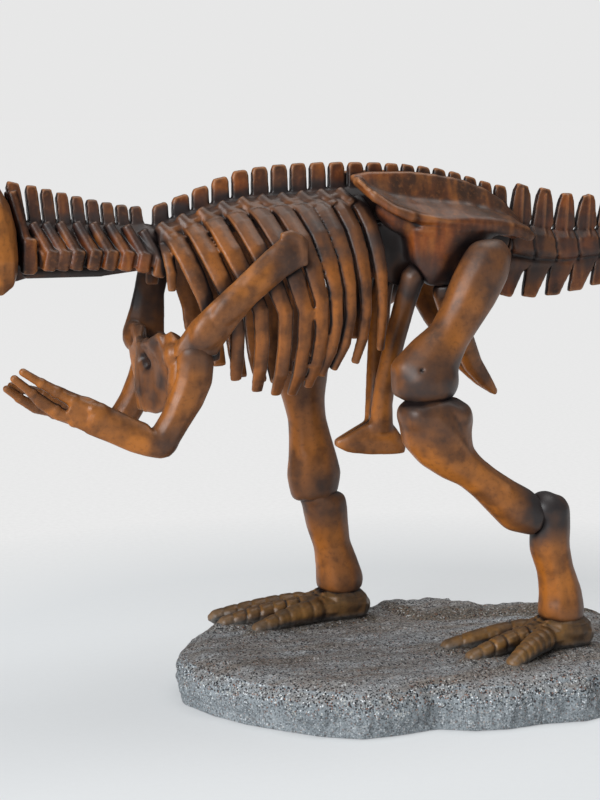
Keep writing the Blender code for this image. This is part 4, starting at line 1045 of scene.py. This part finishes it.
def make_arm(side, name):
    """Upper arm, forearm and hand, cast in one with the elbow and the wrist filled out."""
    ahead = RIGHT_ARM_AHEAD if name == "right" else 0.0
    arm = take(f"humerus_{name}", f"arm_{name}")
    low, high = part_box(f"forearm_{name}")
    wrist_side = (low.y + high.y) / 2 / MM if name == "left" else low.y / MM + 6.5
    wrist = Vector((low.x / MM + 5.5, wrist_side, WRIST_HEIGHT[name]))
    added = [
        take(f"forearm_{name}", "forearm"),
        take(f"hand_{name}", "hand"),
        ball((-138.5 - ahead, side * 32, 140.5), (7.6, 7.0, 8.0)),
        ball((-123 - ahead, side * 31.5, 181), (8.5, 7.0, 6.5)),
        ball(wrist, (6, 4.2, 7.4), (0, 0.42, 0)),
    ]
    for line in FINGERS[name]:
        added += make_finger(side, line)
    fuse(arm, added, ARM_GRAIN)
    soften(arm, ARM_GRAIN, 0.75, 0.2)
    soften_where(arm, ARM_GRAIN, 2.0, ramp(points_of(arm)[:, 0] / MM + ahead, -172, -162))
    finish_bone(arm, f"humerus_{name}", bronze)
    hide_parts(f"forearm_{name}", f"hand_{name}")


for side, name in SIDES:
    make_shoulder(side, name)
    make_arm(side, name)


# ---------------------------------------------------------------------------------------------
# Head: a deep skull with large openings, rough brow and snout, and a lower jaw, both with
# pointed teeth cast in one with the bone.
# ---------------------------------------------------------------------------------------------

SKULL_GRAIN, MANDIBLE_GRAIN = 0.65, 0.6
BROW_BALLS = (
    ((-236, 15.5, 255), (7, 3.6, 3.4), (0, 0.25, 0)),
    ((-226, 19, 254), (4.5, 3.2, 4.0)),
)
CHEEK_ROD = ((-251, 11, 224), (-232, 18.5, 219), 3.2, 3.8, 0.7, 8)
SNOUT_LUMPS = 7

added = []
for side in (1, -1):
    added += balls(side, BROW_BALLS) + rods(side, [CHEEK_ROD])
for number in range(SNOUT_LUMPS):
    height = 253.2 - 2.1 * number - 0.09 * number * number
    added.append(ball((-262 - 5.4 * number, 0, height), (3.0, 4.2 - 0.3 * number, 1.7)))
finish_bone(cast("skull", SKULL_GRAIN, 0.85, 0.1, added), "skull", bronze)
finish_bone(cast("mandible", MANDIBLE_GRAIN, 0.75, 0.1), "mandible", bronze)


# ---------------------------------------------------------------------------------------------
# The wash and painted shade, and the dry brush and painted highlight, laid over all the
# castings: how shut in each spot of the skin is, how hollow, and how near the smoked joints
# or shaded places, sets how much dark wash, smoke and painted shade stay there.
# ---------------------------------------------------------------------------------------------

RAYS = 10
GOLDEN_ANGLE = 2.39996
RAY_START, RAY_REACH = 1.6 * MM, 30 * MM
BLOCKED_ROUNDS, HOLLOW_ROUNDS, BROAD_ROUNDS = 5, 8, 34   # of averaging with the neighbours
MOST_WASH_AND_SHADE, MOST_SMOKE_AND_SHADE = 0.97, 0.95

# Where smoke lies round the joints, and painted shade where parts lie in shadow: under the
# backbone's ledge and over the upper ribs, on the far shoulder blade, under the neck and the
# tail's root, and in front of the hips. Each row gives the middle of a spot, how far it reaches
# along X, Y and Z, and how strong it is.
SMOKED_LEGS = (
    (-8, -42, 158, 33, 33, 33, 0.85), (53, -44, 98, 27, 27, 27, 0.95),
    (68, -44, 42, 21, 21, 21, 0.6), (-44, 47, 171, 29, 29, 29, 0.5),
    (-36, 44, 93, 26, 26, 26, 0.6), (-24, 44, 42, 18, 18, 18, 0.4),
)
SMOKED_AND_SHADED_HIPS = (
    (22, -38, 226, 24, 24, 24, 0.4), (25, 38, 226, 24, 24, 24, 0.4),
    (-7, -20, 212, 22, 22, 22, 0.8), (-5, 20, 214, 22, 22, 22, 0.7),
    (-24, -14, 229, 20, 20, 22, 0.92), (-24, 14, 229, 20, 20, 22, 0.9),
    (20, -44, 214, 14, 20, 19, 0.55), (0, -34, 196, 26, 20, 34, 0.35),
    (-5, -20, 190, 16, 22, 40, 0.6),
)
SMOKED_AND_SHADED_SHOULDERS = (
    (-121, -33, 181, 14, 14, 14, 0.6), (-137, -33, 142, 12, 12, 12, 0.55),
    (-128, 32, 180, 14, 14, 14, 0.6), (-130, 35, 218, 26, 22, 46, 0.95),
    (-140, 12, 188, 22, 22, 22, 0.5), (-141, -13, 170, 17, 26, 30, 0.75),
)
SMOKED_AND_SHADED_NECK = (
    (-170, 0, 242, 44, 30, 8, 0.85), (-168, 0, 215, 48, 30, 7, 0.95),
    (-138, 0, 234, 14, 30, 16, 0.85), (-165, 0, 236, 60, 9, 30, 0.5),
)
SMOKED_AND_SHADED_TRUNK = (
    (-125, 0, 243, 20, 24, 9, 0.75), (-122, 0, 246, 18, 12, 7, 0.92),
    (-102, 0, 250, 22, 24, 9, 0.75), (-96, 0, 251, 20, 12, 7, 0.92),
    (-76, 0, 253, 24, 24, 9, 0.75), (-66, 0, 254, 24, 12, 7, 0.92),
    (-50, 0, 255, 24, 24, 10, 0.8), (-38, 0, 256, 24, 12, 7, 0.92),
    (-28, 0, 254, 24, 24, 14, 0.8), (-20, 0, 230, 34, 26, 26, 0.8),
    (-50, -18, 238, 42, 36, 26, 0.4), (-60, 0, 240, 60, 50, 32, 0.55),
    (-75, -30, 222, 20, 30, 30, 0.45),
)
SMOKED_AND_SHADED_TAIL = (
    (62, 0, 216, 34, 30, 14, 0.75), (75, 0, 238, 40, 20, 7, 0.6),
    (72, 0, 226, 44, 30, 30, 0.5), (120, 0, 220, 62, 30, 14, 0.65),
    (200, 0, 228, 90, 30, 14, 0.5),
)
SMOKE_AND_SHADE_SPOTS = (
    SMOKED_LEGS + SMOKED_AND_SHADED_HIPS + SMOKED_AND_SHADED_SHOULDERS + SMOKED_AND_SHADED_NECK + SMOKED_AND_SHADED_TRUNK + SMOKED_AND_SHADED_TAIL
)


def ray_ways(count):
    """Ways to look out from a spot, spread over most of the half sphere above it."""
    ways = []
    for number in range(count):
        height = 1 - (number + 0.5) / count * 0.85
        across = math.sqrt(1 - height * height)
        turn = number * GOLDEN_ANGLE
        ways.append(Vector((across * math.cos(turn), across * math.sin(turn), height)))
    return ways


def shut_in(places, ways, solids, looks):
    """How much of what each spot looks out on is blocked by solids, the near ones most."""
    blocked = np.zeros(len(places))
    for i in range(len(places)):
        normal = Vector(ways[i])
        start = Vector(places[i]) + normal * RAY_START
        turned = normal.to_track_quat("Z", "Y")
        for look in looks:
            hit = solids.ray_cast(start, turned @ look, RAY_REACH)
            if hit[0] is not None:
                blocked[i] += 1 - 0.6 * hit[3] / RAY_REACH
    return blocked / len(looks)


def spread_mean(values, edges, rounds):
    """Average a value with its neighbours' along the edges, some rounds over."""
    count = len(values)
    degree = np.bincount(edges.ravel(), minlength=count)
    for _ in range(rounds):
        total = np.stack(
            [
                np.bincount(edges[:, 0], column[edges[:, 1]], count)
                + np.bincount(edges[:, 1], column[edges[:, 0]], count)
                for column in values.T
            ],
            axis=1,
        )
        values = 0.5 * values + 0.5 * total / np.maximum(degree, 1)[:, None]
    return values


def smoke_and_shade_near(places):
    """How much smoke each spot has from the joint that smokes it most."""
    near = np.zeros(len(places))
    for x, y, z, *reach, strength in SMOKE_AND_SHADE_SPOTS:
        away = np.linalg.norm((places / MM - (x, y, z)) / reach, axis=1)
        # How much smoke and painted shade each spot gets, from the spot in the table that darkens
        # it most.
        near = np.maximum(near, strength * (1 - ramp(away, 0.45, 1.0)))
    return near


def lay_wash_and_shade(piece, solids, looks):
    places, ways = points_of(piece), normals_of(piece)
    edges = np.empty(len(piece.data.edges) * 2, np.int32)
    piece.data.edges.foreach_get("vertices", edges)
    edges = edges.reshape(-1, 2)
    blocked = shut_in(places, ways, solids, looks)[:, None]
    blocked = spread_mean(blocked, edges, BLOCKED_ROUNDS)[:, 0]
    hollow, broad = [
        ((spread_mean(places, edges, rounds) - places) * ways).sum(axis=1) / MM
        for rounds in (HOLLOW_ROUNDS, BROAD_ROUNDS)
    ]
    # A dark wash in hollows, and painted shade where other parts shut a spot in.
    wash_and_shade = 1.15 * ramp(blocked, 0.08, 0.52) + 0.9 * ramp(hollow, 0.02, 0.22)
    wash_and_shade = wash_and_shade + 0.7 * ramp(broad, 0.1, 0.9)
    set_layer(piece, "wash_and_shade", np.clip(wash_and_shade, 0, MOST_WASH_AND_SHADE))
    # A dry brush with painted highlight on ridges that are open to the room.
    set_layer(piece, "edge", ramp(-hollow, 0.08, 0.3) * (1 - ramp(blocked, 0.2, 0.6)))
    # Smoke round the joints, and painted shade in the places listed above.
    set_layer(piece, "smoke_and_shade", np.clip(smoke_and_shade_near(places), 0, MOST_SMOKE_AND_SHADE))


everything = nearest_solid(sorted(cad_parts))
looks = ray_ways(RAYS)
for piece in bones:
    lay_wash_and_shade(piece, everything, looks)


# ---------------------------------------------------------------------------------------------
# Studio: a pale table top that fades into a bright room, a window to the left in front, a
# ceiling lamp, and a camera a little above the figurine's head that looks slightly down.
# ---------------------------------------------------------------------------------------------

TABLE_RADIUS = 30.0                    # in metres, as are the studio's other sizes and places
TABLE_DROP = 0.0002                    # how far under the slab the table lies
FADE_FROM, FADE_TO = 0.26, 0.44        # how far out the table turns into a plain white glow
TABLE_GREY, TABLE_FLECK = (0.455, 0.47, 0.48), (0.4, 0.4, 0.4)
TABLE_GLOW, ROOM_WHITE = (0.30, 0.305, 0.31), (0.80, 0.80, 0.80)
ROOM_LIGHT = (0.16, 0.165, 0.17)
LAMPS = (                              # name, place, aim, size, power, colour
    ("window", (-1.55, -1.15, 1.0), (0.0, 0.0, 0.15), 1.1, 40.0, (0.95, 0.98, 1.0)),
    ("ceiling", (0.3, 0.0, 1.7), (0.0, 0.0, 0.1), 1.3, 17.0, (1.0, 0.99, 0.97)),
)
CAMERA_PLACE = (-0.36563, -0.94061, 0.29941)
CAMERA_WAY = (0.30563, 0.94061, -0.14781)
LENS, SENSOR_WIDTH = 90.0, 36.0


def table_paint():
    """Matt grey with a faint fleck near the figurine, and further out nothing but glow."""
    material, tree, shader = shader_of("matt_white_table")
    place = make(tree, "ShaderNodeTexCoord").outputs["Object"]
    away = make(tree, "ShaderNodeVectorMath", operation="LENGTH")
    tree.links.new(place, away.inputs[0])
    far = band(tree, away.outputs["Value"], FADE_FROM, FADE_TO)
    base = blend_colour(tree, far, TABLE_GREY, (0.0, 0.0, 0.0))
    fleck = band(tree, noise_node(tree, place, 260, 3), 0.3, 0.7, 0.0, 0.12)
    base = blend_colour(tree, fleck, base, TABLE_FLECK)
    tree.links.new(base, shader.inputs["Base Color"])
    glow = blend_colour(tree, far, TABLE_GLOW, ROOM_WHITE)
    tree.links.new(glow, shader.inputs["Emission Color"])
    set_inputs(shader, Emission_Strength=1.0, Roughness=1.0, Specular_IOR_Level=0.0)
    return material


def make_table():
    bpy.ops.object.select_all(action="DESELECT")
    bpy.ops.mesh.primitive_circle_add(
        vertices=96, radius=TABLE_RADIUS, fill_type="NGON", location=(0, 0, -TABLE_DROP)
    )
    table = bpy.context.object
    table.name = "table_top"
    table.data.materials.append(table_paint())


def make_room():
    """Walls that the camera sees as white, but that light the figurine only softly."""
    world = bpy.data.worlds.new("bright_room")
    world.use_nodes = True
    tree = world.node_tree
    seen = make(tree, "ShaderNodeLightPath").outputs["Is Camera Ray"]
    walls = tree.nodes["Background"]
    tree.links.new(blend_colour(tree, seen, ROOM_LIGHT, ROOM_WHITE), walls.inputs["Color"])
    set_inputs(walls, Strength=1.0)
    bpy.context.scene.world = world


def make_lamp(name, place, aim, size, power, colour):
    light = bpy.data.lights.new(name, "AREA")
    light.energy = power
    light.color = colour
    light.size = size
    lamp = bpy.data.objects.new(name, light)
    lamp.location = place
    lamp.rotation_euler = (Vector(aim) - Vector(place)).to_track_quat("-Z", "Y").to_euler()
    bpy.context.scene.collection.objects.link(lamp)


def make_camera():
    lens = bpy.data.cameras.new("camera")
    lens.lens = LENS
    lens.sensor_width = SENSOR_WIDTH
    camera = bpy.data.objects.new("camera", lens)
    camera.location = CAMERA_PLACE
    camera.rotation_euler = Vector(CAMERA_WAY).to_track_quat("-Z", "Y").to_euler()
    bpy.context.scene.collection.objects.link(camera)
    bpy.context.scene.camera = camera
    bpy.context.scene.view_settings.view_transform = "Standard"


make_table()
make_room()
for lamp in LAMPS:
    make_lamp(*lamp)
make_camera()
